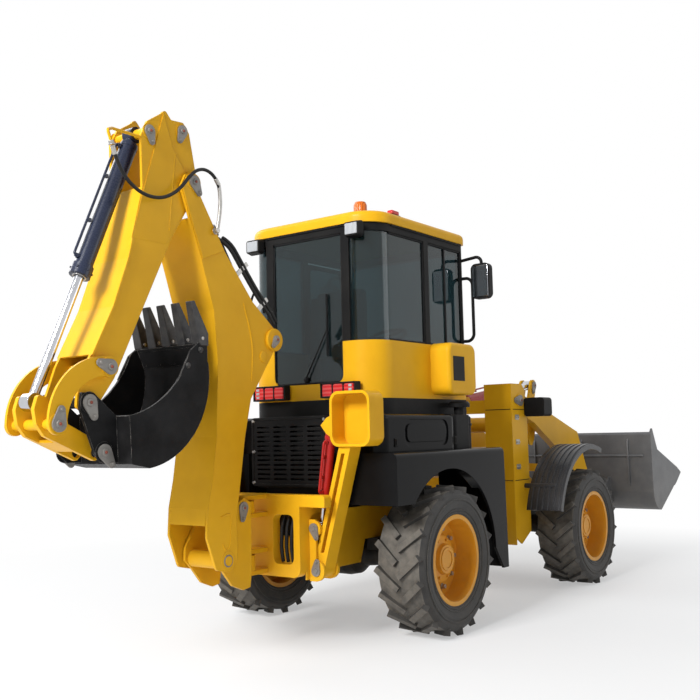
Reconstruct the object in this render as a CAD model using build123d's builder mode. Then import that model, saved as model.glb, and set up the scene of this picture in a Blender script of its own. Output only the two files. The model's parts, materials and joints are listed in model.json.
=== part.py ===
from build123d import *
import math
import os

os.makedirs("parts", exist_ok=True)

# Main sizes in mm. X runs forward, Y to the left, Z up from the ground.
# Side and cross-section positions below are measured from the rear axle.
REAR_X = -1030.0
WHEELBASE = 2525.0
TYRE_R = 525.0
TYRE_W = 380.0
TYRE_OUT = 1000.0
RIM_R = 300.0
FLANGE_R = 317.0
LUGS = 18
LUG_L = 215.0
LUG_W = 46.0
LUG_TURN = 40.0
FIT = 0.1
PIN_R = 30.0
PIVOT_X = 1263.0
KING_X = -1150.0
POST_IN = 130.0
FORK_IN = 160.0
FORK_T = 20.0
LEG_X = -775.0
LEG_HALF = 60.0
CAB_Y = 620.0
CAB_REAR = -420.0
CAB_FRONT = 890.0
CAB_FLOOR = 1680.0
CAB_TOP = 2960.0
ROOF_TOP = 3048.0
TOWER_OUT = 600.0
TOWER_IN = 450.0
ARM_Y = 525.0
ARM_T = 70.0
LIFT_Y = 385.0
BUCKET_HALF = 1050.0
HOE_HALF = 290.0

# Pins of the loader linkage, (forward, up)
ARM_PIN = (1850.0, 1690.0)
LIFT_BASE = (1765.0, 510.0)
LIFT_EYE = (2400.0, 1330.0)
TILT_BASE = ARM_PIN
TILT_EYE = (3265.0, 1890.0)
CRANK_PIN = (3060.0, 1370.0)
CRANK_LOW = (2815.0, 1054.0)
LINK_EYE = (3850.0, 990.0)
BUCKET_PIN = (3830.0, 690.0)

# Pins of the backhoe
BOOM_FOOT = (-1470.0, 648.0)
POST_PIN = (-1300.0, 965.0)
BOOM_EYE = (-1110.0, 1960.0)
DIP_BASE = (-1010.0, 2080.0)
DIP_EYE = (-1812.0, 3348.0)
DIP_PIN = (-1745.0, 3030.0)
HOE_BASE = (-2078.0, 3284.0)
HOE_EYE = (-2775.0, 1640.0)
ROCKER_PIN = (-2410.0, 1835.0)
HOE_PIN = (-2530.0, 1635.0)
LINK_PIN = (-2747.0, 1518.0)
HOE_LOW = (-2430.0, 1360.0)

# Pins of the right stabilizer, (left, up)
LEG_PIN = (-400.0, 520.0)
LEG_PAD = (-700.0, 1530.0)
STAB_BASE = (-490.0, 1490.0)
STAB_EYE = (-386.0, 800.0)


def side(y):
    return Plane((REAR_X, y, 0), x_dir=(1, 0, 0), z_dir=(0, -1, 0))


def across(x):
    return Plane((REAR_X + x, 0, 0), x_dir=(0, 1, 0), z_dir=(1, 0, 0))


def level(z):
    return Plane((REAR_X, 0, z), x_dir=(1, 0, 0), z_dir=(0, 0, 1))


# Wheels
WHEELS = [
    # name, axle position, side
    ("rear_right", 0.0, -1),
    ("rear_left", 0.0, 1),
    ("front_right", WHEELBASE, -1),
    ("front_left", WHEELBASE, 1),
]
LUG_TIP = LUG_L / 2 * math.sin(math.radians(LUG_TURN)) + LUG_W / 2 * math.cos(math.radians(LUG_TURN))
LUG_TOP = math.sqrt(TYRE_R**2 - LUG_TIP**2)
LUG_PHASE = -90.0 + math.degrees(math.atan2(LUG_TIP, LUG_TOP))
TYRE_MID = TYRE_OUT - TYRE_W / 2
for name, axle_x, hand in WHEELS:
    hub = Plane((REAR_X + axle_x, hand * TYRE_MID, TYRE_R), x_dir=(1, 0, 0), z_dir=(0, -hand, 0))
    section = Plane(hub.origin, x_dir=(1, 0, 0), z_dir=(0, 0, 1))
    axis = Axis(hub.origin, (0, 1, 0))
    with BuildPart() as tyre:
        with BuildSketch(section):
            Polygon(
                (RIM_R, -165), (FLANGE_R, -168), (FLANGE_R + 3, -172), (400, -190), (455, -188), (488, -165),
                (494, 0),
                (488, 165), (455, 188), (400, 190), (FLANGE_R + 3, 172), (FLANGE_R, 168), (RIM_R, 165),
                align=None)
        revolve(axis=axis)
        for row_side in (-1, 1):
            for i in range(LUGS):
                turn = LUG_PHASE + (i + (0.5 if row_side > 0 else 0.0)) * 360 / LUGS
                a = math.radians(turn)
                out = (math.cos(a), 0, math.sin(a))
                block = Plane(
                    Vector(*hub.origin) + Vector(0, row_side * 88, 0) + Vector(*out) * 470,
                    x_dir=(0, 1, 0), z_dir=out)
                with BuildSketch(block):
                    Rectangle(LUG_L, LUG_W, rotation=-row_side * LUG_TURN)
                extrude(amount=LUG_TOP - 470)
    tyre.part.label = "tyre_" + name
    export_step(tyre.part, "parts/tyre_" + name + ".step")

    with BuildPart() as rim:
        with BuildSketch(section):
            for s in (-1, 1):
                Polygon((RIM_R - 14, 0), (RIM_R, 0), (RIM_R, s * 165), (FLANGE_R, s * 168),
                        (FLANGE_R, s * 171), (RIM_R - 14, s * 171), align=None)
            Polygon((70 + FIT, -hand * 20), (RIM_R - 14, -hand * 20), (RIM_R - 14, hand * 0),
                    (70 + FIT, hand * 0), align=None)
            Polygon((0, hand * 0), (175, hand * 0), (165, hand * 45), (110, hand * 60),
                    (100, hand * 92), (0, hand * 92), align=None)
        revolve(axis=axis)
    rim.part.label = "rim_" + name
    export_step(rim.part, "parts/rim_" + name + ".step")

# Axles: a housing turned about the wheel line, with pads for the frame
AXLES = [
    # name, axle position
    ("rear_axle", 0.0),
    ("front_axle", WHEELBASE),
]
HOUSING = [
    # radius, distance from the middle
    (165, 60), (150, 140), (90, 210), (80, 320), (95, 540), (150, 550), (150, 600), (70, 600), (70, 805),
    (0, 805),
]
for name, axle_x in AXLES:
    section = Plane((REAR_X + axle_x, 0, TYRE_R), x_dir=(1, 0, 0), z_dir=(0, 0, 1))
    with BuildPart() as axle:
        with BuildSketch(section):
            Polygon((0, 0), (165, 0), *HOUSING, align=None)
        revolve(axis=Axis(section.origin, (0, 1, 0)))
        mirror(about=Plane.XZ)
        for s in (-1, 1):
            with Locations((REAR_X + axle_x, s * 330, 615)):
                Box(220, 100, 90)
    axle.part.label = name
    export_step(axle.part, "parts/" + name + ".step")

# Rear frame with the hinge lugs of the articulation
HINGE_REAR = [(870, 30), (770, 30), (560, 30), (460, 30)]
with BuildPart() as rear_frame:
    with BuildSketch(side(-300)):
        Polygon((-890, 500), (-260, 500), (-200, 660), (200, 660), (260, 480), (1000, 460), (1000, 900),
                (-890, 900), align=None)
    extrude(amount=30)
    mirror(about=Plane.XZ)
    with Locations((REAR_X + 985, 0, 680)):
        Box(30, 600, 440)
    with Locations((REAR_X - 600, 0, 600)):
        Box(30, 600, 200)
    for z, t in HINGE_REAR:
        with BuildSketch(level(z)):
            with BuildLine():
                Polyline((1000, 200), (PIVOT_X, 90), (PIVOT_X, -90), (1000, -200), (1000, 200))
            make_face()
            with Locations((PIVOT_X, 0)):
                Circle(90)
        extrude(amount=t)
    for z0, z1 in ((770, 900), (460, 590)):
        with BuildSketch(level(z0)):
            with Locations((PIVOT_X, 0)):
                Circle(40)
        extrude(amount=z1 - z0)
rear_frame.part.label = "rear_frame"
export_step(rear_frame.part, "parts/rear_frame.step")

# Engine block
with BuildPart() as engine_block:
    with Locations((REAR_X - 155, 0, 985)):
        Box(810, 600, 570)
engine_block.part.label = "engine_block"
export_step(engine_block.part, "parts/engine_block.step")

# Backhoe frame: cross plate, kingpin lugs, stabilizer brackets
KING_LUGS = [(1000, 30), (880, 30), (640, 30), (500, 30)]
BRACKET_R = 68.0
with BuildPart() as backhoe_frame:
    with BuildSketch(across(-960)) as cross_frame:
        with Locations((0, 990)):
            Rectangle(1120, 80)
        with Locations((0, 730)):
            Rectangle(690, 500)
        fillet(cross_frame.vertices().group_by(Axis.Y)[0], 60)
        fillet(cross_frame.vertices().group_by(Axis.Y)[-1], 25)
        with Locations((-200, 730), (200, 730)):
            RectangleRounded(180, 330, 45, mode=Mode.SUBTRACT)
    extrude(amount=70)
    with Locations((REAR_X - 785, 0, 950)):
        Box(210, 690, 100)
    for z, t in KING_LUGS:
        with BuildSketch(level(z)):
            Polygon((-960, 60), (-960, -60), (KING_X, -60), (KING_X, 60), align=None)
            with Locations((KING_X, 0)):
                Circle(60)
        extrude(amount=t)
    for z0, z1 in ((880, 1030), (500, 670)):
        with BuildSketch(level(z0)):
            with Locations((KING_X, 0)):
                Circle(40)
        extrude(amount=z1 - z0)
    for s in (-1, 1):
        with BuildSketch(side(s * 337.5 + 7.5)):
            with Locations((-790, 680)):
                Rectangle(200, 440)
            with Locations((LEG_X, STAB_EYE[1] - 10)):
                RectangleRounded(130, 210, 50, mode=Mode.SUBTRACT)
        extrude(amount=15)
        for x in (LEG_X - LEG_HALF - 25, LEG_X + LEG_HALF + 5):
            with BuildSketch(across(x)):
                Polygon((s * 345, 450), (s * 400, 450), (s * 400, 860), (s * 345, 860), align=None)
                with Locations((s * -LEG_PIN[0], LEG_PIN[1])):
                    Circle(BRACKET_R)
                with Locations((s * -STAB_EYE[0], STAB_EYE[1])):
                    Circle(BRACKET_R - 14)
            extrude(amount=20)
        with BuildSketch(across(LEG_X - LEG_HALF - 25)):
            with Locations((s * -LEG_PIN[0], LEG_PIN[1])):
                Circle(PIN_R)
        extrude(amount=2 * LEG_HALF + 50)
backhoe_frame.part.label = "backhoe_frame"
export_step(backhoe_frame.part, "parts/backhoe_frame.step")

# Body panels of the rear half
FENDER_OUT = 955.0
FENDER_TOP = 1297.0
ARCH_R = 641.0
PANEL_T = 20.0
FENDER_SIDE = [(-690, FENDER_TOP), (820, FENDER_TOP), (840, 370), (760, 370), (640, 540), (0, TYRE_R),
               (-480, 950), (-690, 950)]
FENDER_INSIDE = [(-670, FENDER_TOP - 27), (800, FENDER_TOP - 27), (820, 300), (0, 300), (-670, 900)]
with BuildPart() as rear_fenders:
    with BuildSketch(side(-360)):
        Polygon(*FENDER_SIDE, align=None)
        with Locations((0, TYRE_R)):
            Circle(ARCH_R, mode=Mode.SUBTRACT)
    extrude(amount=FENDER_OUT - 360)
    fillet(rear_fenders.faces().sort_by(Axis.Y)[0].edges().group_by(Axis.Z)[-1], 40)
    with BuildSketch(side(-330)):
        Polygon(*FENDER_INSIDE, align=None)
    extrude(amount=FENDER_OUT - PANEL_T - 330, mode=Mode.SUBTRACT)
    with BuildSketch(side(-FENDER_OUT + PANEL_T)):
        with BuildLine():
            CenterArc((0, TYRE_R), ARCH_R, 48, 84)
            CenterArc((0, TYRE_R), ARCH_R + 22, 48, 84)
            for angle in (48, 132):
                Line((ARCH_R * math.cos(math.radians(angle)), TYRE_R + ARCH_R * math.sin(math.radians(angle))),
                     ((ARCH_R + 22) * math.cos(math.radians(angle)),
                      TYRE_R + (ARCH_R + 22) * math.sin(math.radians(angle))))
        make_face()
    extrude(amount=-60)
    mirror(about=Plane.XZ)
    with Locations((REAR_X + 100, 0, FENDER_TOP - 13.5)):
        Box(1400, 720, 27)
rear_fenders.part.label = "rear_fenders"
export_step(rear_fenders.part, "parts/rear_fenders.step")

COVER_TOP = 1560.0
with BuildPart() as engine_cover:
    with BuildSketch(level(FENDER_TOP)):
        with Locations((-110, 0)):
            RectangleRounded(1020, 1580, 90)
    extrude(amount=COVER_TOP - FENDER_TOP)
    fillet(engine_cover.faces().sort_by(Axis.Z)[-1].edges(), 35)
    with BuildSketch(level(FENDER_TOP)):
        with Locations((-110, 0)):
            RectangleRounded(980, 1540, 70)
    extrude(amount=COVER_TOP - FENDER_TOP - PANEL_T, mode=Mode.SUBTRACT)
    for y, depth in ((-790, -10), (790, 10)):
        with BuildSketch(side(y)):
            with Locations((-35, 1425)):
                RectangleRounded(590, 190, 70)
                RectangleRounded(530, 130, 50, mode=Mode.SUBTRACT)
        extrude(amount=depth, mode=Mode.SUBTRACT)
engine_cover.part.label = "engine_cover"
export_step(engine_cover.part, "parts/engine_cover.step")

SLOT_ROWS = 12
SLOT_COLUMNS = 4
with BuildPart() as radiator_grille:
    with BuildSketch(across(-660)):
        with Locations((0, 1310)):
            RectangleRounded(700, 500, 30)
        with Locations((0, 1300)):
            with GridLocations(160, 34, SLOT_COLUMNS, SLOT_ROWS):
                Rectangle(124, 14, mode=Mode.SUBTRACT)
    extrude(amount=40)
    with BuildSketch(across(-668)):
        with Locations((0, 1310)):
            RectangleRounded(700, 500, 30)
            RectangleRounded(664, 464, 18, mode=Mode.SUBTRACT)
    extrude(amount=8)
radiator_grille.part.label = "radiator_grille"
export_step(radiator_grille.part, "parts/radiator_grille.step")

TANK_TOP = 1555.0
FILLER = (560.0, -715.0)
with BuildPart() as side_tanks:
    for s in (-1, 1):
        with BuildSketch(level(FENDER_TOP)):
            with Locations((530, s * 640)):
                RectangleRounded(250, 240, 35)
        extrude(amount=TANK_TOP - FENDER_TOP)
        canister = Plane((REAR_X + 740, s * 640, FENDER_TOP), x_dir=(1, 0, 0), z_dir=(0, -1, 0))
        with BuildSketch(canister):
            Polygon((0, 0), (65, 0), (65, 170), (72, 175), (72, 190), (65, 195), (65, 240), (45, 258),
                    (0, 258), align=None)
        revolve(axis=Axis(canister.origin, (0, 0, 1)))
    cap = Plane((REAR_X + FILLER[0], FILLER[1], TANK_TOP), x_dir=(1, 0, 0), z_dir=(0, -1, 0))
    with BuildSketch(cap):
        Polygon((0, 0), (40, 0), (40, 60), (85, 60), (85, 88), (70, 105), (0, 105), align=None)
    revolve(axis=Axis(cap.origin, (0, 0, 1)))
side_tanks.part.label = "side_tanks"
export_step(side_tanks.part, "parts/side_tanks.step")

# Cab: its plan is rounder at the two rear corners, and its wall has the windows cut out
CORNER_REAR = 220.0
CORNER_FRONT = 60.0
SILL = 2100.0
HEADER = 2900.0
SHELL_T = 20.0
POST_T = 40.0
GLASS_IN = 15.0
GLASS_T = 6.0
REAR_SILL = 1800.0
REAR_POST_IN = 330.0


def cab_plan(z, inset):
    with BuildSketch(level(z)) as plan:
        with Locations(((CAB_REAR + CAB_FRONT) / 2, 0)):
            Rectangle(CAB_FRONT - CAB_REAR - 2 * inset, 2 * (CAB_Y - inset))
        fillet(plan.vertices().group_by(Axis.X)[0], CORNER_REAR - inset)
        fillet(plan.vertices().group_by(Axis.X)[-1], CORNER_FRONT - inset)
    return plan.sketch


with BuildPart() as cab_base:
    extrude(cab_plan(COVER_TOP, 0), amount=CAB_FLOOR - COVER_TOP)
cab_base.part.label = "cab_base"
export_step(cab_base.part, "parts/cab_base.step")

DOOR = (320.0, 850.0)
with BuildPart() as cab_shell:
    extrude(cab_plan(CAB_FLOOR, 0), amount=SILL - CAB_FLOOR)
    extrude(cab_plan(CAB_FLOOR, SHELL_T), amount=SILL - CAB_FLOOR, mode=Mode.SUBTRACT)
    with BuildSketch(across(CAB_REAR - 50)):
        with Locations((0, REAR_SILL + 300)):
            RectangleRounded(2 * REAR_POST_IN, 600, 60)
    extrude(amount=120, mode=Mode.SUBTRACT)
    with Locations((REAR_X + (DOOR[0] + DOOR[1]) / 2, CAB_Y, (SILL + CAB_FLOOR) / 2)):
        Box(DOOR[1] - DOOR[0], 60, SILL - CAB_FLOOR, mode=Mode.SUBTRACT)
cab_shell.part.label = "cab_shell"
export_step(cab_shell.part, "parts/cab_shell.step")

WINDOWS = [
    # rear end, front end, right edge, left edge
    (-470, -370, -REAR_POST_IN, REAR_POST_IN),
    (-470, 260, -700, -400),
    (-470, 260, 400, 700),
    (DOOR[0], 830, -700, -560),
    (DOOR[0], DOOR[1], 560, 700),
    (840, 950, -550, 550),
]
with BuildPart() as cab_pillars:
    extrude(cab_plan(SILL, 0), amount=CAB_TOP - SILL)
    extrude(cab_plan(SILL, POST_T), amount=CAB_TOP - SILL, mode=Mode.SUBTRACT)
    for x0, x1, y0, y1 in WINDOWS:
        with Locations((REAR_X + (x0 + x1) / 2, (y0 + y1) / 2, (SILL + HEADER) / 2)):
            Box(x1 - x0, y1 - y0, HEADER - SILL, mode=Mode.SUBTRACT)
cab_pillars.part.label = "cab_pillars"
export_step(cab_pillars.part, "parts/cab_pillars.step")

with BuildPart() as cab_glass:
    extrude(cab_plan(SILL, GLASS_IN), amount=HEADER - SILL)
    extrude(cab_plan(SILL, GLASS_IN + GLASS_T), amount=HEADER - SILL, mode=Mode.SUBTRACT)
    with Locations((REAR_X + (DOOR[0] + DOOR[1]) / 2, CAB_Y, (SILL + HEADER) / 2)):
        Box(DOOR[1] - DOOR[0], 60, HEADER - SILL, mode=Mode.SUBTRACT)
    with BuildSketch(across(CAB_REAR + GLASS_IN)):
        with Locations((0, REAR_SILL + 300)):
            RectangleRounded(2 * REAR_POST_IN, 600, 60)
    extrude(amount=GLASS_T)
    add(cab_pillars.part, mode=Mode.SUBTRACT)
cab_glass.part.label = "cab_glass"
export_step(cab_glass.part, "parts/cab_glass.step")

ROOF_LAP = 18.0
with BuildPart() as cab_roof:
    extrude(cab_plan(CAB_TOP, -ROOF_LAP), amount=ROOF_TOP - CAB_TOP)
    fillet(cab_roof.faces().sort_by(Axis.Z)[-1].edges(), 45)
    for y in (-360, -120, 120, 360):
        with BuildSketch(level(ROOF_TOP - 6)):
            with Locations(((CAB_REAR + CAB_FRONT) / 2, y)):
                SlotOverall(960, 60)
        extrude(amount=6, mode=Mode.SUBTRACT)
cab_roof.part.label = "cab_roof"
export_step(cab_roof.part, "parts/cab_roof.step")

with BuildPart() as climate_box:
    with BuildSketch(side(-CAB_Y)):
        with Locations((520, 1910)):
            RectangleRounded(420, 400, 70)
    extrude(amount=170)
    fillet(climate_box.faces().sort_by(Axis.Y)[0].edges(), 30)
    for i in range(6):
        with BuildSketch(side(-CAB_Y - 170)):
            with Locations((450, 1850 + i * 24)):
                SlotOverall(130, 12)
        extrude(amount=-8, mode=Mode.SUBTRACT)
climate_box.part.label = "climate_box"
export_step(climate_box.part, "parts/climate_box.step")

SEAT_SIDE = [(-60, 2000), (330, 2030), (350, 2090), (40, 2070), (-20, 2500), (-80, 2500), (-110, 2020)]
with BuildPart() as cab_interior:
    with BuildSketch(side(230)):
        Polygon(*SEAT_SIDE, align=None)
    extrude(amount=460)
    with BuildSketch(level(CAB_FLOOR)):
        with Locations((130, 0)):
            RectangleRounded(360, 380, 40)
    extrude(amount=325)
    with BuildSketch(side(150)):
        Polygon((600, CAB_FLOOR), (820, CAB_FLOOR), (780, 2120), (660, 2120), align=None)
    extrude(amount=300)
    column = Plane((REAR_X + 660, 0, 2100), x_dir=(0, 1, 0), z_dir=(-0.45, 0, 0.89))
    with BuildSketch(column):
        Circle(30)
    extrude(amount=130)
    with BuildSketch(column.offset(120)):
        Circle(190)
        Circle(168, mode=Mode.SUBTRACT)
        for turn in (0, 120, 240):
            with Locations(Location((0, 0), turn)):
                with Locations((90, 0)):
                    Rectangle(180, 26)
    extrude(amount=22)
cab_interior.part.label = "cab_interior"
export_step(cab_interior.part, "parts/cab_interior.step")

DOOR_IN = 10.0
DOOR_T = 18.0
DOOR_FACE = CAB_Y
with BuildPart() as cab_door:
    with BuildSketch(side(DOOR_FACE)):
        with Locations((585, 2290)):
            RectangleRounded(DOOR[1] - DOOR[0] - 2 * DOOR_IN, 1200, 40)
        with Locations((585, 2480)):
            RectangleRounded(430, 740, 50, mode=Mode.SUBTRACT)
    extrude(amount=DOOR_T)
    for z in (1800, 2290, 2780):
        with BuildSketch(level(z - 30)):
            with Locations((DOOR[0] + DOOR_IN, DOOR_FACE)):
                Circle(9)
        extrude(amount=60)
    with BuildSketch(side(DOOR_FACE + 40)):
        with Locations((790, 2060)):
            RectangleRounded(110, 30, 12)
    extrude(amount=40)
cab_door.part.label = "cab_door"
export_step(cab_door.part, "parts/cab_door.step")

with BuildPart() as door_glass:
    with BuildSketch(side(DOOR_FACE - GLASS_T)):
        with Locations((585, 2480)):
            RectangleRounded(430, 740, 50)
    extrude(amount=GLASS_T)
door_glass.part.label = "door_glass"
export_step(door_glass.part, "parts/door_glass.step")

with BuildPart() as rear_lamps:
    for s in (-1, 1):
        with BuildSketch(across(-480)):
            with Locations((s * 330, 1745)):
                RectangleRounded(300, 110, 20)
        extrude(amount=60)
        for dy in (-98, 0, 98):
            with BuildSketch(across(-480)):
                with Locations((s * 330 + dy, 1745)):
                    RectangleRounded(84, 84, 14)
            extrude(amount=-12)
rear_lamps.part.label = "rear_lamps"
export_step(rear_lamps.part, "parts/rear_lamps.step")

BEACON = (-230.0, -380.0)
with BuildPart() as roof_lamps:
    stem = Plane((REAR_X + BEACON[0], BEACON[1], ROOF_TOP), x_dir=(1, 0, 0), z_dir=(0, -1, 0))
    with BuildSketch(stem):
        Polygon((0, 0), (62, 0), (62, 22), (50, 28), (48, 85), (38, 105), (0, 110), align=None)
    revolve(axis=Axis(stem.origin, (0, 0, 1)))
    for s in (-1, 1):
        with BuildSketch(across(CAB_REAR - 70)):
            with Locations((s * 480, 2900)):
                RectangleRounded(130, 100, 16)
        extrude(amount=50, taper=-12)
        with Locations((REAR_X + CAB_REAR + 10, s * 480, 2940)):
            Box(90, 36, 30)
    add(cab_pillars.part, mode=Mode.SUBTRACT)
roof_lamps.part.label = "roof_lamps"
export_step(roof_lamps.part, "parts/roof_lamps.step")

MIRROR_X = 870.0
TUBE_R = 13.0
with BuildPart() as mirrors_and_rails:
    for s in (-1, 1):
        with BuildSketch(across(MIRROR_X - 30)):
            with Locations((s * 790, 2640)):
                RectangleRounded(170, 290, 45)
        extrude(amount=55)
        with BuildLine() as bracket:
            FilletPolyline((REAR_X + MIRROR_X, s * 600, 2830), (REAR_X + MIRROR_X, s * 790, 2850),
                           (REAR_X + MIRROR_X, s * 790, 2760), radius=50)
        with BuildSketch(Plane(bracket.line @ 0, z_dir=bracket.line % 0)):
            Circle(TUBE_R)
        sweep(path=bracket.line)
    with BuildLine() as rail:
        FilletPolyline((REAR_X + MIRROR_X, -600, 2680), (REAR_X + MIRROR_X, -700, 2680),
                       (REAR_X + MIRROR_X, -700, 2160), (REAR_X + MIRROR_X, -600, 2160), radius=60)
    with BuildSketch(Plane(rail.line @ 0, z_dir=rail.line % 0)):
        Circle(TUBE_R)
    sweep(path=rail.line)
    add(cab_pillars.part, mode=Mode.SUBTRACT)
mirrors_and_rails.part.label = "mirrors_and_rails"
export_step(mirrors_and_rails.part, "parts/mirrors_and_rails.step")

# Front frame with the two towers
with BuildPart() as front_frame:
    with BuildSketch(side(-300)):
        Polygon((1640, 470), (2270, 470), (2330, 660), (2720, 660), (2760, 480), (2900, 480), (2900, 760),
                (2500, 1000), (1640, 1000), align=None)
    extrude(amount=30)
    for y in (-TOWER_IN, -TOWER_OUT + 15):
        with BuildSketch(side(y)):
            Polygon((1700, 480), (1800, 420), (1990, 520), (1990, 1480), (1960, 1780), (1900, 1840),
                    (1700, 1840), align=None)
        extrude(amount=15)
    with BuildSketch(side(-TOWER_IN)):
        with Locations(ARM_PIN):
            Circle(PIN_R)
    extrude(amount=TOWER_OUT - TOWER_IN)
    with BuildSketch(side(-330)):
        with Locations(LIFT_BASE):
            Circle(PIN_R)
    extrude(amount=TOWER_IN - 330)
    with Locations((REAR_X + 1692.5, -465, 1130)):
        Box(15, 270, 1420)
    mirror(about=Plane.XZ)
    with Locations((REAR_X + 1650, 0, 735)):
        Box(20, 660, 530)
    with Locations((REAR_X + 2820, 0, 600)):
        Box(30, 600, 200)
    with Locations((REAR_X + 1745, 0, 1640)):
        Box(90, 900, 120)
    for y in (70, -45):
        with BuildSketch(side(y)):
            with Locations(TILT_BASE):
                Circle(55)
            Polygon((1745, 1585), (1850, 1637), (1905, 1690), (1850, 1743), (1745, 1700), align=None)
        extrude(amount=25)
    with BuildSketch(side(70)):
        with Locations(TILT_BASE):
            Circle(PIN_R)
    extrude(amount=140)
    for z, t in ((805, 60), (495, 60)):
        with BuildSketch(level(z)):
            Polygon((1640, 200), (1640, -200), (PIVOT_X, -85), (PIVOT_X, 85), align=None)
            with Locations((PIVOT_X, 0)):
                Circle(85)
                Circle(40 + FIT, mode=Mode.SUBTRACT)
        extrude(amount=t)
front_frame.part.label = "front_frame"
export_step(front_frame.part, "parts/front_frame.step")

FENDER_R = 735.0
FENDER_T = 13.0
FENDER_FROM = 70.0
FENDER_SWEEP = 95.0
RIBS = 6


def fender_band(y, inner, outer):
    with BuildSketch(side(y)) as band:
        with BuildLine():
            low = CenterArc((WHEELBASE, TYRE_R), inner, FENDER_FROM, FENDER_SWEEP)
            high = CenterArc((WHEELBASE, TYRE_R), outer, FENDER_FROM, FENDER_SWEEP)
            Line(low @ 0, high @ 0)
            Line(low @ 1, high @ 1)
        make_face()
    return band.sketch


with BuildPart() as front_fenders:
    extrude(fender_band(-650, FENDER_R, FENDER_R + FENDER_T), amount=330)
    extrude(fender_band(-968, FENDER_R - 30, FENDER_R + FENDER_T), amount=12)
    for i in range(RIBS):
        extrude(fender_band(-668 - i * 53, FENDER_R, FENDER_R + FENDER_T + 9), amount=26)
    with BuildSketch(side(-600)):
        with Locations((1900, 925)):
            Circle(22)
    extrude(amount=300)
    mirror(about=Plane.XZ)
front_fenders.part.label = "front_fenders"
export_step(front_fenders.part, "parts/front_fenders.step")

with BuildPart() as head_lamps:
    for s in (-1, 1):
        with BuildSketch(across(1930)):
            with Locations((s * 700, 1630)):
                RectangleRounded(200, 170, 30)
        extrude(amount=165)
        with BuildSketch(across(2095)):
            with Locations((s * 700, 1630)):
                RectangleRounded(176, 146, 24)
                RectangleRounded(160, 130, 20, mode=Mode.SUBTRACT)
        extrude(amount=15)
        with Locations((REAR_X + 1960, s * 605, 1630)):
            Box(60, 10, 80)
head_lamps.part.label = "head_lamps"
export_step(head_lamps.part, "parts/head_lamps.step")

# Loader arms, crank, link and bucket
ARM = [(1800, 1770), (1900, 1775), (2685, 1545), (3214, 1389), (3397, 1046), (3560, 840), (3860, 770),
       (3910, 690), (3860, 620), (3700, 600), (3330, 700), (2990, 1010), (2679, 1255), (2223, 1488),
       (1850, 1600), (1790, 1640)]
with BuildPart() as loader_arms:
    with BuildSketch(side(-ARM_Y + ARM_T / 2)) as arm_outline:
        Polygon(*ARM, align=None)
        fillet(arm_outline.vertices(), 25)
        for pin in (ARM_PIN, BUCKET_PIN):
            with Locations(pin):
                Circle(PIN_R + FIT, mode=Mode.SUBTRACT)
    extrude(amount=ARM_T)
    mirror(about=Plane.XZ)
    with BuildSketch(side(ARM_Y - ARM_T / 2)):
        with Locations((2450, 1480)):
            Circle(75)
    extrude(amount=2 * ARM_Y - ARM_T)
    with BuildSketch(side(38)):
        Polygon((2450, 1410), (3060, 1310), (3060, 1430), (2450, 1550), align=None)
        with Locations(CRANK_PIN):
            Circle(60)
            Circle(PIN_R + FIT, mode=Mode.SUBTRACT)
    extrude(amount=76)
    for y in (LIFT_Y, -LIFT_Y):
        for dy in (50, -37):
            with BuildSketch(side(y + dy)):
                Polygon((2380, 1480), (2520, 1480), (2465, 1330), (2420, 1275), (2370, 1280), (2345, 1330),
                        align=None)
            extrude(amount=13)
loader_arms.part.label = "loader_arms"
export_step(loader_arms.part, "parts/loader_arms.step")

with BuildPart() as bell_crank:
    for y in (70, -45):
        with BuildSketch(side(y)):
            with Locations(CRANK_PIN):
                Circle(80)
            with Locations(CRANK_LOW, TILT_EYE):
                Circle(60)
            Polygon((2995, 1425), (3130, 1325), (2862, 1012), (2768, 1092), align=None)
            Polygon((2985, 1400), (3135, 1340), (3320, 1868), (3210, 1912), align=None)
        extrude(amount=25)
    for pin in (CRANK_PIN, CRANK_LOW):
        with BuildSketch(side(70)):
            with Locations(pin):
                Circle(PIN_R)
        extrude(amount=140)
    with BuildSketch(side(45)):
        Polygon((3130, 1640), (3190, 1617), (3225, 1705), (3165, 1728), align=None)
    extrude(amount=90)
bell_crank.part.label = "bell_crank"
export_step(bell_crank.part, "parts/bell_crank.step")

with BuildPart() as tilt_link:
    with BuildSketch(side(35)):
        with Locations(CRANK_LOW, LINK_EYE):
            Circle(55)
        Polygon((2812, 1014), (3848, 950), (3852, 1030), (2818, 1094), align=None)
        with Locations(CRANK_LOW):
            Circle(PIN_R + FIT, mode=Mode.SUBTRACT)
    extrude(amount=70)
tilt_link.part.label = "tilt_link"
export_step(tilt_link.part, "parts/tilt_link.step")

BUCKET_TIP = (4930.0, 905.0)
BUCKET_HEEL = (4212.0, 540.0)
BUCKET_TOP = (4035.0, 1407.0)
BUCKET_T = 20.0
MOUTH = [(3997, 1390), (4060, 1450), (4189, 1200), (4960, 960), (4960, 935), (4750, 832), (4300, 720),
         (4025, 790)]


def bucket_side(y):
    with BuildSketch(side(y)) as outline:
        with BuildLine():
            Polyline(BUCKET_TOP, (4169, 1182), (4804, 966), BUCKET_TIP, (4759, 812), BUCKET_HEEL)
            ThreePointArc(BUCKET_HEEL, (4062, 598), (3990, 740))
            Polyline((3990, 740), (3975, 1348), BUCKET_TOP)
        make_face()
    return outline


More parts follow.
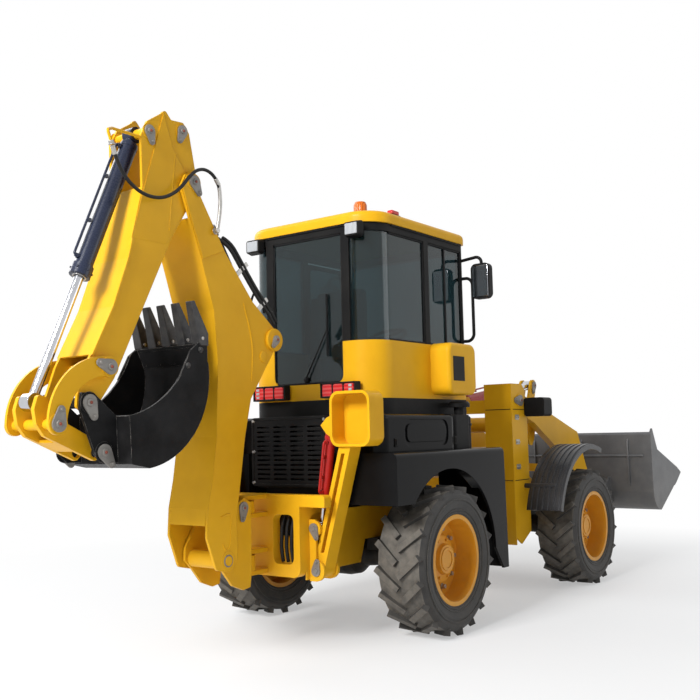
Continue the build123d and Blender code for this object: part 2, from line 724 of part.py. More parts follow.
with BuildPart() as loader_bucket:
    extrude(bucket_side(BUCKET_HALF).sketch, amount=2 * BUCKET_HALF)
    with BuildSketch(side(BUCKET_HALF - BUCKET_T)):
        add(bucket_side(0).sketch_local)
        offset(amount=-BUCKET_T, mode=Mode.REPLACE)
        Polygon(*MOUTH, align=None)
    extrude(amount=2 * (BUCKET_HALF - BUCKET_T), mode=Mode.SUBTRACT)
    with BuildSketch(side(BUCKET_HALF)):
        Polygon((4690, 770), BUCKET_TIP, (4760, 800), align=None)
    extrude(amount=2 * BUCKET_HALF)
    for y0 in (ARM_Y + ARM_T / 2 + 26, ARM_Y - ARM_T / 2 - 6, -ARM_Y + ARM_T / 2 + 26, -ARM_Y - ARM_T / 2 - 6):
        with BuildSketch(side(y0)):
            Polygon((4080, 612), (3830, 615), (3760, 660), (3760, 740), (3800, 800), (3990, 900), (3998, 745),
                    align=None)
        extrude(amount=20)
    for s in (-1, 1):
        with BuildSketch(side(s * ARM_Y + ARM_T / 2 + 26)):
            with Locations(BUCKET_PIN):
                Circle(PIN_R)
        extrude(amount=ARM_T + 52)
    for y in (65, -45):
        with BuildSketch(side(y)):
            Polygon((3992, 870), (3850, 932), (3795, 990), (3850, 1048), (3990, 1110), align=None)
        extrude(amount=20)
loader_bucket.part.label = "loader_bucket"
export_step(loader_bucket.part, "parts/loader_bucket.step")

# Swing post
with BuildPart() as swing_post:
    for z0, z1 in ((915, 995), (535, 635)):
        with BuildSketch(level(z0)):
            with Locations((KING_X, 0)):
                Circle(85)
            Polygon((KING_X, 85), (KING_X, -85), (-1225, -POST_IN - 20), (-1225, POST_IN + 20), align=None)
            with Locations((KING_X, 0)):
                Circle(40 + FIT, mode=Mode.SUBTRACT)
        extrude(amount=z1 - z0)
    with Locations((REAR_X - 1230, 0, 720)):
        Box(20, 2 * POST_IN + 40, 370)
    with BuildSketch(side(-POST_IN)):
        Polygon((-1222, 535), (-1222, 995), (-1290, 1030), (-1370, 980), (-1540, 720), (-1545, 640),
                (-1480, 575), (-1400, 480), (-1300, 440), (-1235, 450), align=None)
    extrude(amount=20)
    mirror(about=Plane.XZ)
    with BuildSketch(side(POST_IN + 60)):
        with Locations(BOOM_FOOT):
            Circle(PIN_R)
    extrude(amount=2 * POST_IN + 120)
    for pin, radius in ((POST_PIN, PIN_R), (BOOM_FOOT, 55)):
        with BuildSketch(side(POST_IN)):
            with Locations(pin):
                Circle(radius)
        extrude(amount=2 * POST_IN)
swing_post.part.label = "swing_post"
export_step(swing_post.part, "parts/swing_post.step")

BOOM = [(-1344, 1161), (-1301, 1424), (-1240, 1673), (-1066, 1920), (-960, 2063), (-1000, 2160),
        (-1211, 2323), (-1461, 2617), (-1690, 2960), (-1690, 3070), (-1745, 3100), (-1810, 3070),
        (-1850, 2990), (-1679, 2553), (-1573, 2238), (-1542, 1913), (-1559, 1429), (-1600, 1160),
        (-1640, 982), (-1650, 809), (-1570, 600), (-1440, 570), (-1380, 650), (-1390, 900)]
BOOM_WEB = [(-1650, 880), (-1640, 982), (-1600, 1160), (-1559, 1429), (-1542, 1913), (-1573, 2238),
            (-1679, 2553), (-1770, 2800), (-1755, 2808), (-1664, 2558), (-1558, 2240), (-1527, 1913),
            (-1544, 1429), (-1585, 1160), (-1625, 982), (-1635, 880)]
HOSE_PORT = (-1572, 2745)
HOSE_R = 11.0
HOSE_Y = -(FORK_IN + FORK_T + 3 * HOSE_R)
with BuildPart() as boom:
    with BuildSketch(side(-FORK_IN)) as boom_outline:
        Polygon(*BOOM, align=None)
        fillet(boom_outline.vertices(), 30)
        with Locations(BOOM_FOOT, DIP_PIN):
            Circle(PIN_R + FIT, mode=Mode.SUBTRACT)
    extrude(amount=FORK_T)
    mirror(about=Plane.XZ)
    with BuildSketch(side(FORK_IN)):
        Polygon(*BOOM_WEB, align=None)
    extrude(amount=2 * FORK_IN)
    with BuildSketch(side(FORK_IN)):
        with Locations(DIP_BASE):
            Circle(PIN_R)
    extrude(amount=2 * FORK_IN)
    with BuildSketch(side(-FORK_IN - FORK_T)):
        with Locations(HOSE_PORT):
            Circle(16)
    extrude(amount=2 * HOSE_R - 5)
boom.part.label = "boom"
export_step(boom.part, "parts/boom.step")

DIPPER_HALF = 130.0
PIPE_R = 9.0
DIPPER = [(-1770, 2857), (-1899, 2658), (-2339, 1776), (-2470, 1600), (-2530, 1570), (-2595, 1610),
          (-2590, 1680), (-2532, 1840), (-2356, 2185), (-2246, 2481), (-2130, 2931), (-2140, 3250),
          (-2090, 3345), (-1980, 3420), (-1950, 3452), (-1900, 3400), (-1800, 3408), (-1750, 3350),
          (-1690, 3080), (-1680, 2990)]
with BuildPart() as dipper:
    with BuildSketch(side(-DIPPER_HALF)) as dipper_outline:
        Polygon(*DIPPER, align=None)
        fillet(dipper_outline.vertices(), 18)
        with Locations(HOE_PIN, ROCKER_PIN):
            Circle(PIN_R, mode=Mode.SUBTRACT)
    extrude(amount=20)
    mirror(about=Plane.XZ)
    with BuildSketch(side(DIPPER_HALF)):
        Polygon((-1899, 2658), (-2339, 1776), (-2354, 1783), (-1914, 2665), align=None)
        Polygon((-2130, 2931), (-2246, 2481), (-2356, 2185), (-2342, 2178), (-2232, 2478), (-2115, 2930),
                align=None)
        with Locations(HOE_BASE):
            Circle(PIN_R)
    extrude(amount=2 * DIPPER_HALF)
    with BuildSketch(side(DIPPER_HALF + 30)):
        Polygon((-1930, 2596), (-2339, 1776), (-2354, 1783), (-1945, 2603), align=None)
        Polygon((-2214, 2605), (-2246, 2481), (-2356, 2185), (-2500, 1903), (-2486, 1897), (-2342, 2178),
                (-2232, 2478), (-2199, 2602), align=None)
    extrude(amount=2 * DIPPER_HALF + 60)
    with BuildSketch(side(FORK_IN + FORK_T)):
        with Locations(DIP_PIN):
            Circle(PIN_R)
    extrude(amount=2 * FORK_IN + 2 * FORK_T)
    with BuildSketch(side(200)):
        with Locations(ROCKER_PIN):
            Circle(PIN_R)
    extrude(amount=400)
    with BuildLine() as elbow:
        FilletPolyline((REAR_X - 2405, HOSE_Y, 3105), (REAR_X - 2438, HOSE_Y, 3190), (REAR_X - 2350, -140, 3235),
                       (REAR_X - 2095, -140, 3235), radius=18)
    with BuildSketch(Plane(elbow.line @ 0, z_dir=elbow.line % 0)):
        Circle(PIPE_R)
    sweep(path=elbow.line)
dipper.part.label = "dipper"
export_step(dipper.part, "parts/dipper.step")

with BuildPart() as rocker_links:
    with BuildSketch(side(-180)):
        with BuildLine():
            outer = ThreePointArc((-2410, 1892), (-2700, 1782), (-2806, 1518))
            inner = ThreePointArc((-2410, 1782), (-2618, 1700), (-2690, 1518))
            Line(outer @ 0, inner @ 0)
            Line(outer @ 1, inner @ 1)
        make_face()
        with Locations(ROCKER_PIN, LINK_PIN):
            Circle(58)
        with Locations(ROCKER_PIN):
            Circle(PIN_R + FIT, mode=Mode.SUBTRACT)
    extrude(amount=20)
    mirror(about=Plane.XZ)
    with BuildSketch(side(200)):
        with Locations(LINK_PIN):
            Circle(PIN_R)
    extrude(amount=400)
rocker_links.part.label = "rocker_links"
export_step(rocker_links.part, "parts/rocker_links.step")

POWER = [(-2430, 1310), (-2760, 1455), (-2810, 1520), (-2825, 1600), (-2800, 1680), (-2740, 1660),
         (-2715, 1570), (-2410, 1420), (-2380, 1360)]
with BuildPart() as power_link:
    with BuildSketch(side(-70)) as power_outline:
        Polygon(*POWER, align=None)
        fillet(power_outline.vertices(), 20)
        with Locations(LINK_PIN, HOE_LOW):
            Circle(PIN_R + FIT, mode=Mode.SUBTRACT)
    extrude(amount=30)
    mirror(about=Plane.XZ)
    with BuildSketch(side(70)):
        Polygon((-2560, 1368), (-2680, 1420), (-2672, 1438), (-2552, 1386), align=None)
    extrude(amount=140)
power_link.part.label = "power_link"
export_step(power_link.part, "parts/power_link.step")

HOE_LIP = (-1800.0, 2010.0)
HOE_T = 20.0
HOE_MOUTH = [(-2325, 1480), (-2325, 1640), (-2080, 1900), (-1850, 2060), (-1757, 1880), (-1790, 1700)]


def hoe_side(y):
    with BuildSketch(side(y)) as outline:
        with BuildLine():
            Line(HOE_LIP, (-1735, 1880))
            ThreePointArc((-1735, 1880), (-1858, 1448), (-2200, 1262))
            Polyline((-2200, 1262), (-2330, 1290), (-2345, 1560))
            ThreePointArc((-2345, 1560), (-2065, 1690), (-1870, 1960))
            Line((-1870, 1960), HOE_LIP)
        make_face()
    return outline


with BuildPart() as hoe_bucket:
    extrude(hoe_side(HOE_HALF).sketch, amount=2 * HOE_HALF)
    with BuildSketch(side(HOE_HALF - 15)):
        add(hoe_side(0).sketch_local)
        offset(amount=-HOE_T, mode=Mode.REPLACE)
        Polygon(*HOE_MOUTH, align=None)
    extrude(amount=2 * HOE_HALF - 30, mode=Mode.SUBTRACT)
    for s in (-1, 1):
        with BuildSketch(side(s * (HOE_HALF - 5) + 5)):
            Polygon((-1752, 1905), (-1815, 2005), (-1880, 1955), (-1965, 1800), (-1905, 1770), (-1790, 1830),
                    align=None)
        extrude(amount=10)
    with BuildSketch(side(-156)):
        Polygon((-2325, 1300), (-2430, 1300), (-2490, 1350), (-2590, 1600), (-2580, 1690), (-2500, 1690),
                (-2335, 1555), align=None)
    extrude(amount=18)
    mirror(about=Plane.XZ)
    with BuildSketch(side(176)):
        with Locations(HOE_PIN):
            Circle(PIN_R - FIT)
    extrude(amount=352)
    for i in range(5):
        with BuildSketch(side(-265 + i * 132.5 + 25)):
            Polygon((-1742, 1890), (-1764, 1890), (-1812, 2010), (-1872, 2250), (-1850, 2255), (-1745, 2060),
                    align=None)
        extrude(amount=50)
hoe_bucket.part.label = "hoe_bucket"
export_step(hoe_bucket.part, "parts/hoe_bucket.step")

# Stabilizer legs
for name, s in (("right", 1), ("left", -1)):
    with BuildPart() as leg:
        with BuildSketch(across(LEG_X - LEG_HALF)):
            Polygon((s * -448, 520), (s * -352, 520), (s * -607, 1390), (s * -703, 1390), align=None)
            with Locations((s * LEG_PIN[0], LEG_PIN[1])):
                Circle(50)
            with Locations((s * LEG_PIN[0], LEG_PIN[1])):
                Circle(PIN_R + FIT, mode=Mode.SUBTRACT)
        extrude(amount=2 * LEG_HALF)
        with BuildSketch(across(LEG_X - LEG_HALF)):
            Polygon((s * -448, 640), (s * -420, 640), (s * -612, 1300), (s * -640, 1300), align=None)
        extrude(amount=85, mode=Mode.SUBTRACT)
        with BuildSketch(across(LEG_X - 80)):
            with Locations((s * LEG_PAD[0], LEG_PAD[1])):
                RectangleRounded(330, 370, 70)
        extrude(amount=160)
        with BuildSketch(across(LEG_X - 80)):
            with Locations((s * LEG_PAD[0], LEG_PAD[1])):
                RectangleRounded(290, 330, 55)
        extrude(amount=135, mode=Mode.SUBTRACT)
        for x in (LEG_X - LEG_HALF, LEG_X + LEG_HALF - 15):
            with BuildSketch(across(x)):
                Polygon((s * -545, 1400), (s * -490, 1430), (s * -440, 1490), (s * -490, 1540),
                        (s * -545, 1560), align=None)
            extrude(amount=15)
        with BuildSketch(across(LEG_X - LEG_HALF)):
            with Locations((s * STAB_BASE[0], STAB_BASE[1])):
                Circle(18)
        extrude(amount=2 * LEG_HALF)
    leg.part.label = "stabilizer_leg_" + name
    export_step(leg.part, "parts/stabilizer_leg_" + name + ".step")

# Cylinders: barrel at the base pin, rod at the eye
CYLINDERS = [
    # name, base pin, rod eye, pin direction, barrel radius, rod radius, barrel length, rod start, eye width,
    # pin radius, twin on the other side
    ("lift", (LIFT_BASE[0], -LIFT_Y, LIFT_BASE[1]), (LIFT_EYE[0], -LIFT_Y, LIFT_EYE[1]), (0, 1, 0),
     48, 30, 836, 215, 66, PIN_R, True),
    ("tilt", (TILT_BASE[0], 0, TILT_BASE[1]), (TILT_EYE[0], 0, TILT_EYE[1]), (0, 1, 0),
     60, 35, 780, 640, 74, PIN_R, False),
    ("boom", (POST_PIN[0], 0, POST_PIN[1]), (BOOM_EYE[0], 0, BOOM_EYE[1]), (0, 1, 0),
     62, 35, 860, 90, 100, PIN_R, False),
    ("dipper", (DIP_BASE[0], 0, DIP_BASE[1]), (DIP_EYE[0], 0, DIP_EYE[1]), (0, 1, 0),
     60, 32, 860, 780, 100, PIN_R, False),
    ("hoe", (HOE_BASE[0], 0, HOE_BASE[1]), (HOE_EYE[0], 0, HOE_EYE[1]), (0, 1, 0),
     52, 28, 1000, 920, 80, PIN_R, False),
    ("stabilizer_right", (LEG_X, STAB_BASE[0], STAB_BASE[1]), (LEG_X, STAB_EYE[0], STAB_EYE[1]), (1, 0, 0),
     36, 22, 560, 90, 64, 18.0, False),
    ("stabilizer_left", (LEG_X, -STAB_BASE[0], STAB_BASE[1]), (LEG_X, -STAB_EYE[0], STAB_EYE[1]), (1, 0, 0),
     36, 22, 560, 90, 64, 18.0, False),
]
for name, base, eye, pin_dir, barrel_r, rod_r, barrel_l, rod_0, eye_w, pin_r, twin in CYLINDERS:
    start = Vector(REAR_X + base[0], base[1], base[2])
    end = Vector(REAR_X + eye[0], eye[1], eye[2])
    run = end - start
    along = Plane(start, x_dir=pin_dir, z_dir=run)
    with BuildPart() as barrel:
        with BuildSketch(Plane(start, x_dir=run, z_dir=pin_dir)):
            Circle(pin_r + 20)
        extrude(amount=eye_w / 2, both=True)
        with BuildSketch(along):
            Circle(0.42 * eye_w)
        extrude(amount=pin_r + 40)
        with BuildSketch(along.offset(pin_r + 35)):
            Circle(barrel_r)
        extrude(amount=barrel_l - pin_r - 35)
        with BuildSketch(along.offset(pin_r + 40)):
            Circle(rod_r + FIT)
        extrude(amount=barrel_l, mode=Mode.SUBTRACT)
        with BuildSketch(Plane(start, x_dir=run, z_dir=pin_dir)):
            Circle(pin_r + FIT)
        extrude(amount=barrel_r + 20, both=True, mode=Mode.SUBTRACT)
        if twin:
            mirror(about=Plane.XZ)
    barrel.part.label = name + "_barrel"
    export_step(barrel.part, "parts/" + name + "_barrel.step")
    with BuildPart() as rod:
        with BuildSketch(along.offset(rod_0)):
            Circle(rod_r)
        extrude(amount=run.length - rod_0)
        with BuildSketch(Plane(end, x_dir=run, z_dir=pin_dir)):
            Circle(pin_r + 20)
        extrude(amount=eye_w / 2, both=True)
        if twin:
            mirror(about=Plane.XZ)
    rod.part.label = name + "_rod"
    export_step(rod.part, "parts/" + name + "_rod.step")

# Hose loop from the pipe on the dipper over the boom's tip to its port on the boom
HOSE_ROUTE = [
    # forward, up
    (-2405, 3105), (-2372, 3020), (-2318, 2944), (-2240, 2886), (-2142, 2858), (-2040, 2866), (-1948, 2908),
    (-1874, 2970), (-1814, 3042), (-1754, 3100), (-1678, 3126), (-1602, 3106), (-1552, 3046), (-1538, 2968),
    (-1543, 2888), (-1555, 2812), HOSE_PORT,
]
stops = [Vector(REAR_X + x, HOSE_Y, z) for x, z in HOSE_ROUTE]
runs = [b - a for a, b in zip(stops, stops[1:])]
bends = []
for before, after in zip(runs, runs[1:]):
    turn = math.radians(before.get_angle(after))
    bends.append(0.45 * min(before.length, after.length) / math.tan(turn / 2))
print("hose bends", [round(bend) for bend in bends])
with BuildPart() as boom_hose:
    with BuildLine() as hose_line:
        FilletPolyline(*stops, radius=bends)
    with BuildSketch(Plane(hose_line.line @ 0, z_dir=hose_line.line % 0)):
        Circle(HOSE_R)
    sweep(path=hose_line.line)
boom_hose.part.label = "boom_hose"
export_step(boom_hose.part, "parts/boom_hose.step")
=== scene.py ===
import json
import math

import bmesh
import bpy
from mathutils import Matrix, Vector

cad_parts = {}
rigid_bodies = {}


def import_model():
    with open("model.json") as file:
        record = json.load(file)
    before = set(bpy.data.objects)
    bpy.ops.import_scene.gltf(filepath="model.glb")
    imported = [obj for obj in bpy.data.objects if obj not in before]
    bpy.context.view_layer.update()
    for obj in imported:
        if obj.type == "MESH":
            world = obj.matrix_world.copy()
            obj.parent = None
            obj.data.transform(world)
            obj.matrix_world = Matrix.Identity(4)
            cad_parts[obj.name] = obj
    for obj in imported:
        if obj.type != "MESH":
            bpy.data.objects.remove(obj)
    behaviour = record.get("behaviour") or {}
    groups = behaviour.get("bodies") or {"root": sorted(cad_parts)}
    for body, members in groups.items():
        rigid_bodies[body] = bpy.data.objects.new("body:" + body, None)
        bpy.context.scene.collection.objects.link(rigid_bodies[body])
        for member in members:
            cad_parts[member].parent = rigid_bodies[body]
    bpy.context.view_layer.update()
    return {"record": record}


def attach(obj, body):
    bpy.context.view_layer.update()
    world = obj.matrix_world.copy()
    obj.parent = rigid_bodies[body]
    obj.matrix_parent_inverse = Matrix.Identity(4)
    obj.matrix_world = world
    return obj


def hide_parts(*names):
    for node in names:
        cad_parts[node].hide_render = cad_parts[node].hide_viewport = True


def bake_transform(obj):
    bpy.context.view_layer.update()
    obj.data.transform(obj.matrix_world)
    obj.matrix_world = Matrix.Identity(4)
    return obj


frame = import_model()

# Distances in metres: ahead of the rear axle, left of the middle line, up from the ground
REAR_X = -1.030
WHEELBASE = 2.525
TYRE_R = 0.525
TYRE_MID = 0.810
ROOF_TOP = 3.048
DIPPER_FACE, BOOM_FACE = 0.1495, 0.1795
SIDES = (-1, 1)
BACKWARD = (-1, 0, 0)
FORWARD = Vector((1, 0, 0))
UP = Vector((0, 0, 1))

WHITE = (1.0, 1.0, 1.0, 1.0)
GRAIN_DEPTH, RIB_DEPTH = 0.002, 0.003


# Material building blocks
class Nodes:
    """A material's node tree with short calls to add and join nodes."""

    def __init__(self, name):
        self.material = bpy.data.materials.new(name)
        self.material.use_nodes = True
        self.tree = self.material.node_tree
        self.shader = self.tree.nodes["Principled BSDF"]
        self.place = self.add("ShaderNodeTexCoord").outputs["Object"]

    def add(self, kind, **settings):
        node = self.tree.nodes.new(kind)
        for key, value in settings.items():
            setattr(node, key, value)
        return node

    def join(self, output, target):
        self.tree.links.new(output, target)

    def noise(self, scale, detail=5.0, rough=0.55):
        node = self.add("ShaderNodeTexNoise")
        node.inputs["Scale"].default_value = scale
        node.inputs["Detail"].default_value = detail
        node.inputs["Roughness"].default_value = rough
        self.join(self.place, node.inputs["Vector"])
        return node.outputs["Fac"]

    def spread(self, value, low, high, to_low=0.0, to_high=1.0):
        node = self.add("ShaderNodeMapRange")
        node.inputs["From Min"].default_value = low
        node.inputs["From Max"].default_value = high
        node.inputs["To Min"].default_value = to_low
        node.inputs["To Max"].default_value = to_high
        self.join(value, node.inputs["Value"])
        return node.outputs["Result"]

    def maths(self, kind, a, b):
        node = self.add("ShaderNodeMath", operation=kind)
        for socket, value in zip(node.inputs, (a, b)):
            if isinstance(value, (int, float)):
                socket.default_value = value
            else:
                self.join(value, socket)
        return node.outputs["Value"]

    def mix(self, factor, a, b):
        node = self.add("ShaderNodeMix", data_type="RGBA")
        self.join(factor, node.inputs["Factor"])
        for name, value in (("A", a), ("B", b)):
            socket = [s for s in node.inputs if s.name == name and s.type == "RGBA"][0]
            if isinstance(value, tuple):
                socket.default_value = (*value, 1.0)
            else:
                self.join(value, socket)
        return [s for s in node.outputs if s.type == "RGBA"][0]

    def apart(self, vector, axis):
        node = self.add("ShaderNodeSeparateXYZ")
        self.join(vector, node.inputs["Vector"])
        return node.outputs[axis]

    def relief(self, height, strength, depth):
        node = self.add("ShaderNodeBump")
        node.inputs["Strength"].default_value = strength
        node.inputs["Distance"].default_value = depth
        self.join(height, node.inputs["Height"])
        self.join(node.outputs["Normal"], self.shader.inputs["Normal"])
        return node

    def edges(self, radius):
        """1 along worn edges, 0 on flat faces, with the rounded normal for the shader."""
        bevel = self.add("ShaderNodeBevel", samples=4)
        bevel.inputs["Radius"].default_value = radius
        dot = self.add("ShaderNodeVectorMath", operation="DOT_PRODUCT")
        self.join(bevel.outputs["Normal"], dot.inputs[0])
        self.join(self.add("ShaderNodeNewGeometry").outputs["Normal"], dot.inputs[1])
        return self.spread(dot.outputs["Value"], 0.97, 0.75), bevel.outputs["Normal"]


def worn_edges(n, colour, edge, worn_colour, amount):
    """Paint rubbed off in patches along the edges."""
    patch = n.spread(n.noise(22.0, 6.0, 0.7), 0.42, 0.62, 0.0, amount)
    return n.mix(n.maths("MULTIPLY", edge, patch), colour, worn_colour)


def low_dirt(n, colour, roughness, dirt_colour, top, amount):
    """Spots of dirt, thicker towards the ground."""
    low = n.spread(n.apart(n.place, "Z"), top, 0.0, 0.0, 1.0)
    spots = n.spread(n.noise(9.0, 8.0, 0.65), 0.35, 0.75, 0.15, 1.0)
    dirt = n.maths("MULTIPLY", n.maths("MULTIPLY", low, spots), amount)
    roughness = n.maths("MINIMUM", n.maths("ADD", roughness, n.maths("MULTIPLY", dirt, 0.35)), 0.95)
    return n.mix(dirt, colour, dirt_colour), roughness


def tread_dust(n, colour, dust_colour, amount):
    """Dust on the tyre's tread, none on its side walls."""
    normal = n.add("ShaderNodeTexCoord").outputs["Normal"]
    sideways = n.maths("ABSOLUTE", n.apart(normal, "Y"), 0.0)
    around = n.spread(sideways, 0.70, 0.25, 0.0, amount)
    patchy = n.spread(n.noise(14.0, 6.0, 0.6), 0.30, 0.65, 0.30, 1.0)
    return n.mix(n.maths("MULTIPLY", around, patchy), colour, dust_colour)


def finish(name, tints, rough, metal=0.0, cloud=3.0, grain=140.0, bump=0.1, grime=None, wear=None,
           soft_edge=0.006, coat=0.0, shine=0.5, tread=None):
    """A painted, moulded or bare finish: two tints in clouds, grain, dirt from below and worn edges."""
    n = Nodes(name)
    s = n.shader
    fine = n.noise(grain, 3.0)
    colour = n.mix(n.spread(n.noise(cloud), 0.32, 0.68), *tints)
    roughness = n.spread(fine, 0.3, 0.7, *rough)
    edge, normal = n.edges(soft_edge)
    if wear:
        colour = worn_edges(n, colour, edge, *wear)
    if grime:
        colour, roughness = low_dirt(n, colour, roughness, *grime)
    if tread:
        colour = tread_dust(n, colour, *tread)
    n.join(normal, n.relief(fine, bump, GRAIN_DEPTH).inputs["Normal"])
    n.join(colour, s.inputs["Base Color"])
    n.join(roughness, s.inputs["Roughness"])
    s.inputs["Metallic"].default_value = metal
    s.inputs["Specular IOR Level"].default_value = shine
    s.inputs["Coat Weight"].default_value = coat
    s.inputs["Coat Roughness"].default_value = 0.12
    return n.material


def glass_finish(name, tint):
    """Clear or tinted glass with a faint uneven film."""
    n = Nodes(name)
    s = n.shader
    film = n.spread(n.noise(1.6, 4.0), 0.3, 0.7)
    n.join(n.mix(film, tint, tuple(0.8 * c for c in tint)), s.inputs["Base Color"])
    n.join(n.spread(n.noise(6.0, 4.0), 0.3, 0.8, 0.0, 0.012), s.inputs["Roughness"])
    s.inputs["Transmission Weight"].default_value = 0.92
    s.inputs["Specular IOR Level"].default_value = 0.22
    s.inputs["IOR"].default_value = 1.45
    return n.material


def lamp_finish(name, tint, glow, painted_rib_band, ways="Y", count=28.0):
    """A moulded lens with fine ribs, its colour banded across them as painted light and shade."""
    n = Nodes(name)
    s = n.shader
    ribs = n.add("ShaderNodeTexWave", bands_direction=ways)
    ribs.inputs["Scale"].default_value = count
    n.join(n.place, ribs.inputs["Vector"])
    # Painted light and shade: the lens colour alternates in bands along the ribs, a lighter glint band on the
    # red lens, darker shade bands on the white and amber lenses.
    n.join(n.mix(ribs.outputs["Fac"], tint, painted_rib_band), s.inputs["Base Color"])
    n.relief(ribs.outputs["Fac"], 0.4, RIB_DEPTH)
    s.inputs["Roughness"].default_value = 0.16
    s.inputs["Specular IOR Level"].default_value = 0.3
    s.inputs["Emission Color"].default_value = (*tint, 1.0)
    s.inputs["Emission Strength"].default_value = glow
    return n.material


DUST = (0.36, 0.28, 0.17)
STEEL = (0.42, 0.40, 0.37)
FINISHES = {
    "paint_yellow": dict(tints=((0.80, 0.425, 0.013), (0.72, 0.37, 0.010)), rough=(0.28, 0.44), bump=0.06,
                         grime=(DUST, 0.9, 0.12), wear=((0.24, 0.15, 0.05), 0.45), coat=0.02, shine=0.12),
    "paint_rim": dict(tints=((0.80, 0.36, 0.016), (0.68, 0.29, 0.012)), rough=(0.32, 0.48), bump=0.08,
                      grime=(DUST, 1.1, 0.30), wear=((0.30, 0.20, 0.09), 0.45), coat=0.05, shine=0.35),
    "rubber_tyre": dict(tints=((0.013, 0.013, 0.013), (0.026, 0.025, 0.024)), rough=(0.50, 0.80), cloud=7.0,
                        grain=260.0, bump=0.35, grime=((0.20, 0.165, 0.125), 1.7, 0.16),
                        wear=((0.16, 0.135, 0.105), 0.75), tread=((0.19, 0.168, 0.138), 0.58)),
    "black_panel": dict(tints=((0.004, 0.004, 0.0045), (0.007, 0.007, 0.0075)), rough=(0.12, 0.24), bump=0.04,
                        grime=(DUST, 1.0, 0.04), shine=0.09),
    "black_metal": dict(tints=((0.007, 0.007, 0.0075), (0.014, 0.0135, 0.013)), rough=(0.34, 0.56), bump=0.25,
                        grime=(DUST, 1.1, 0.12), wear=((0.14, 0.12, 0.10), 0.5), shine=0.08),
    # Front fender finish: its own black plus painted sheen, the base lifted to a bluish dark grey for the sky
    # seen on the fender's top.
    "fender_black_and_sheen": dict(tints=((0.020, 0.021, 0.024), (0.032, 0.033, 0.037)), rough=(0.24, 0.42), bump=0.1,
                         grime=(DUST, 1.1, 0.08), wear=((0.14, 0.13, 0.12), 0.6), shine=0.4),
    "bucket_grey": dict(tints=((0.095, 0.096, 0.099), (0.140, 0.140, 0.142)), rough=(0.36, 0.56), metal=0.3,
                        bump=0.3, cloud=4.5, grime=(DUST, 1.0, 0.25), wear=(STEEL, 0.7)),
    "hoe_black": dict(tints=((0.006, 0.006, 0.0065), (0.016, 0.016, 0.017)), rough=(0.28, 0.52), metal=0.05,
                      bump=0.35, cloud=6.0, grime=((0.20, 0.18, 0.15), 2.6, 0.06), wear=(STEEL, 0.8),
                      shine=0.07),
    "barrel_navy": dict(tints=((0.008, 0.012, 0.030), (0.013, 0.019, 0.044)), rough=(0.20, 0.34), bump=0.05,
                        coat=0.12, shine=0.3, grime=(DUST, 1.0, 0.2)),
    "barrel_red": dict(tints=((0.48, 0.016, 0.012), (0.36, 0.012, 0.010)), rough=(0.24, 0.40), bump=0.05,
                       coat=0.08, shine=0.25, grime=(DUST, 1.0, 0.2)),
    "rod_chrome": dict(tints=((0.60, 0.61, 0.64), (0.48, 0.49, 0.52)), rough=(0.06, 0.16), metal=1.0,
                       bump=0.03),
    "trim_black": dict(tints=((0.008, 0.008, 0.0085), (0.014, 0.014, 0.0145)), rough=(0.40, 0.60), bump=0.1,
                       grain=420.0, shine=0.1),
    "zinc": dict(tints=((0.46, 0.45, 0.43), (0.36, 0.35, 0.33)), rough=(0.30, 0.48), metal=0.85, bump=0.12,
                 cloud=12.0, wear=((0.24, 0.16, 0.09), 0.4), soft_edge=0.002),
    "seat_cloth": dict(tints=((0.020, 0.020, 0.022), (0.036, 0.036, 0.040)), rough=(0.75, 0.95), bump=0.6,
                       grain=900.0),
    "tooth_steel": dict(tints=((0.022, 0.022, 0.024), (0.050, 0.048, 0.046)), rough=(0.34, 0.58), metal=0.5,
                        bump=0.4, cloud=18.0, wear=(STEEL, 0.95), soft_edge=0.004),
    "hose_rubber": dict(tints=((0.008, 0.008, 0.0085), (0.015, 0.0145, 0.014)), rough=(0.38, 0.58), bump=0.25,
                        grain=500.0, shine=0.25),
    "plate_grey": dict(tints=((0.20, 0.19, 0.175), (0.27, 0.255, 0.235)), rough=(0.38, 0.60), metal=0.35,
                       bump=0.2, cloud=14.0, wear=((0.22, 0.12, 0.07), 0.6), soft_edge=0.003, shine=0.3),
    "grease_red": dict(tints=((0.26, 0.055, 0.028), (0.18, 0.035, 0.02)), rough=(0.4, 0.6), bump=0.2),
}
GLASSES = {
    # Cab glass: a dark teal tint, partly the glass's own tint, partly painted shade of the dim cab behind it
    # and painted reflection of the sky and trees.
    "cab_glass": (0.085, 0.150, 0.165),
    "lens_clear": (0.86, 0.88, 0.90),
}
# The second colour of each lens is its painted rib band: a lighter glint on the red lens, darker shade on the
# white and amber lenses.
LENSES = {
    "lamp_red": dict(tint=(0.55, 0.010, 0.014), glow=0.05, painted_rib_band=(0.62, 0.075, 0.07), ways="Z", count=11.0),
    "lamp_white": dict(tint=(0.56, 0.58, 0.60), glow=0.0, painted_rib_band=(0.24, 0.25, 0.27)),
    "lamp_amber": dict(tint=(0.75, 0.17, 0.01), glow=0.08, painted_rib_band=(0.42, 0.085, 0.006)),
}
MATERIALS = {name: finish(name, **look) for name, look in FINISHES.items()}
MATERIALS.update((name, glass_finish(name, tint)) for name, tint in GLASSES.items())
MATERIALS.update((name, lamp_finish(name, **look)) for name, look in LENSES.items())

# Nodes whose finish differs from that of their slot
OWN_LOOK = {"roof_lamps": "black_metal", "front_fenders": "fender_black_and_sheen"}


def paint_nodes():
    for row in frame["record"]["subparts"]:
        thing = bpy.data.objects[row["node"]]
        look = MATERIALS[OWN_LOOK.get(row["node"], row["material_slot"])]
        for held in thing.material_slots:
            held.material = look
        if not thing.material_slots:
            thing.data.materials.append(look)


# Mesh building blocks
def at(x, y, z):
    """A point in the part's frame, from its distance ahead of the rear axle."""
    return Vector((x + REAR_X, y, z))


def across_of(ahead):
    """A level direction square to ahead."""
    hint = UP if abs(ahead.z) < 0.9 else FORWARD
    return hint.cross(ahead).normalized()


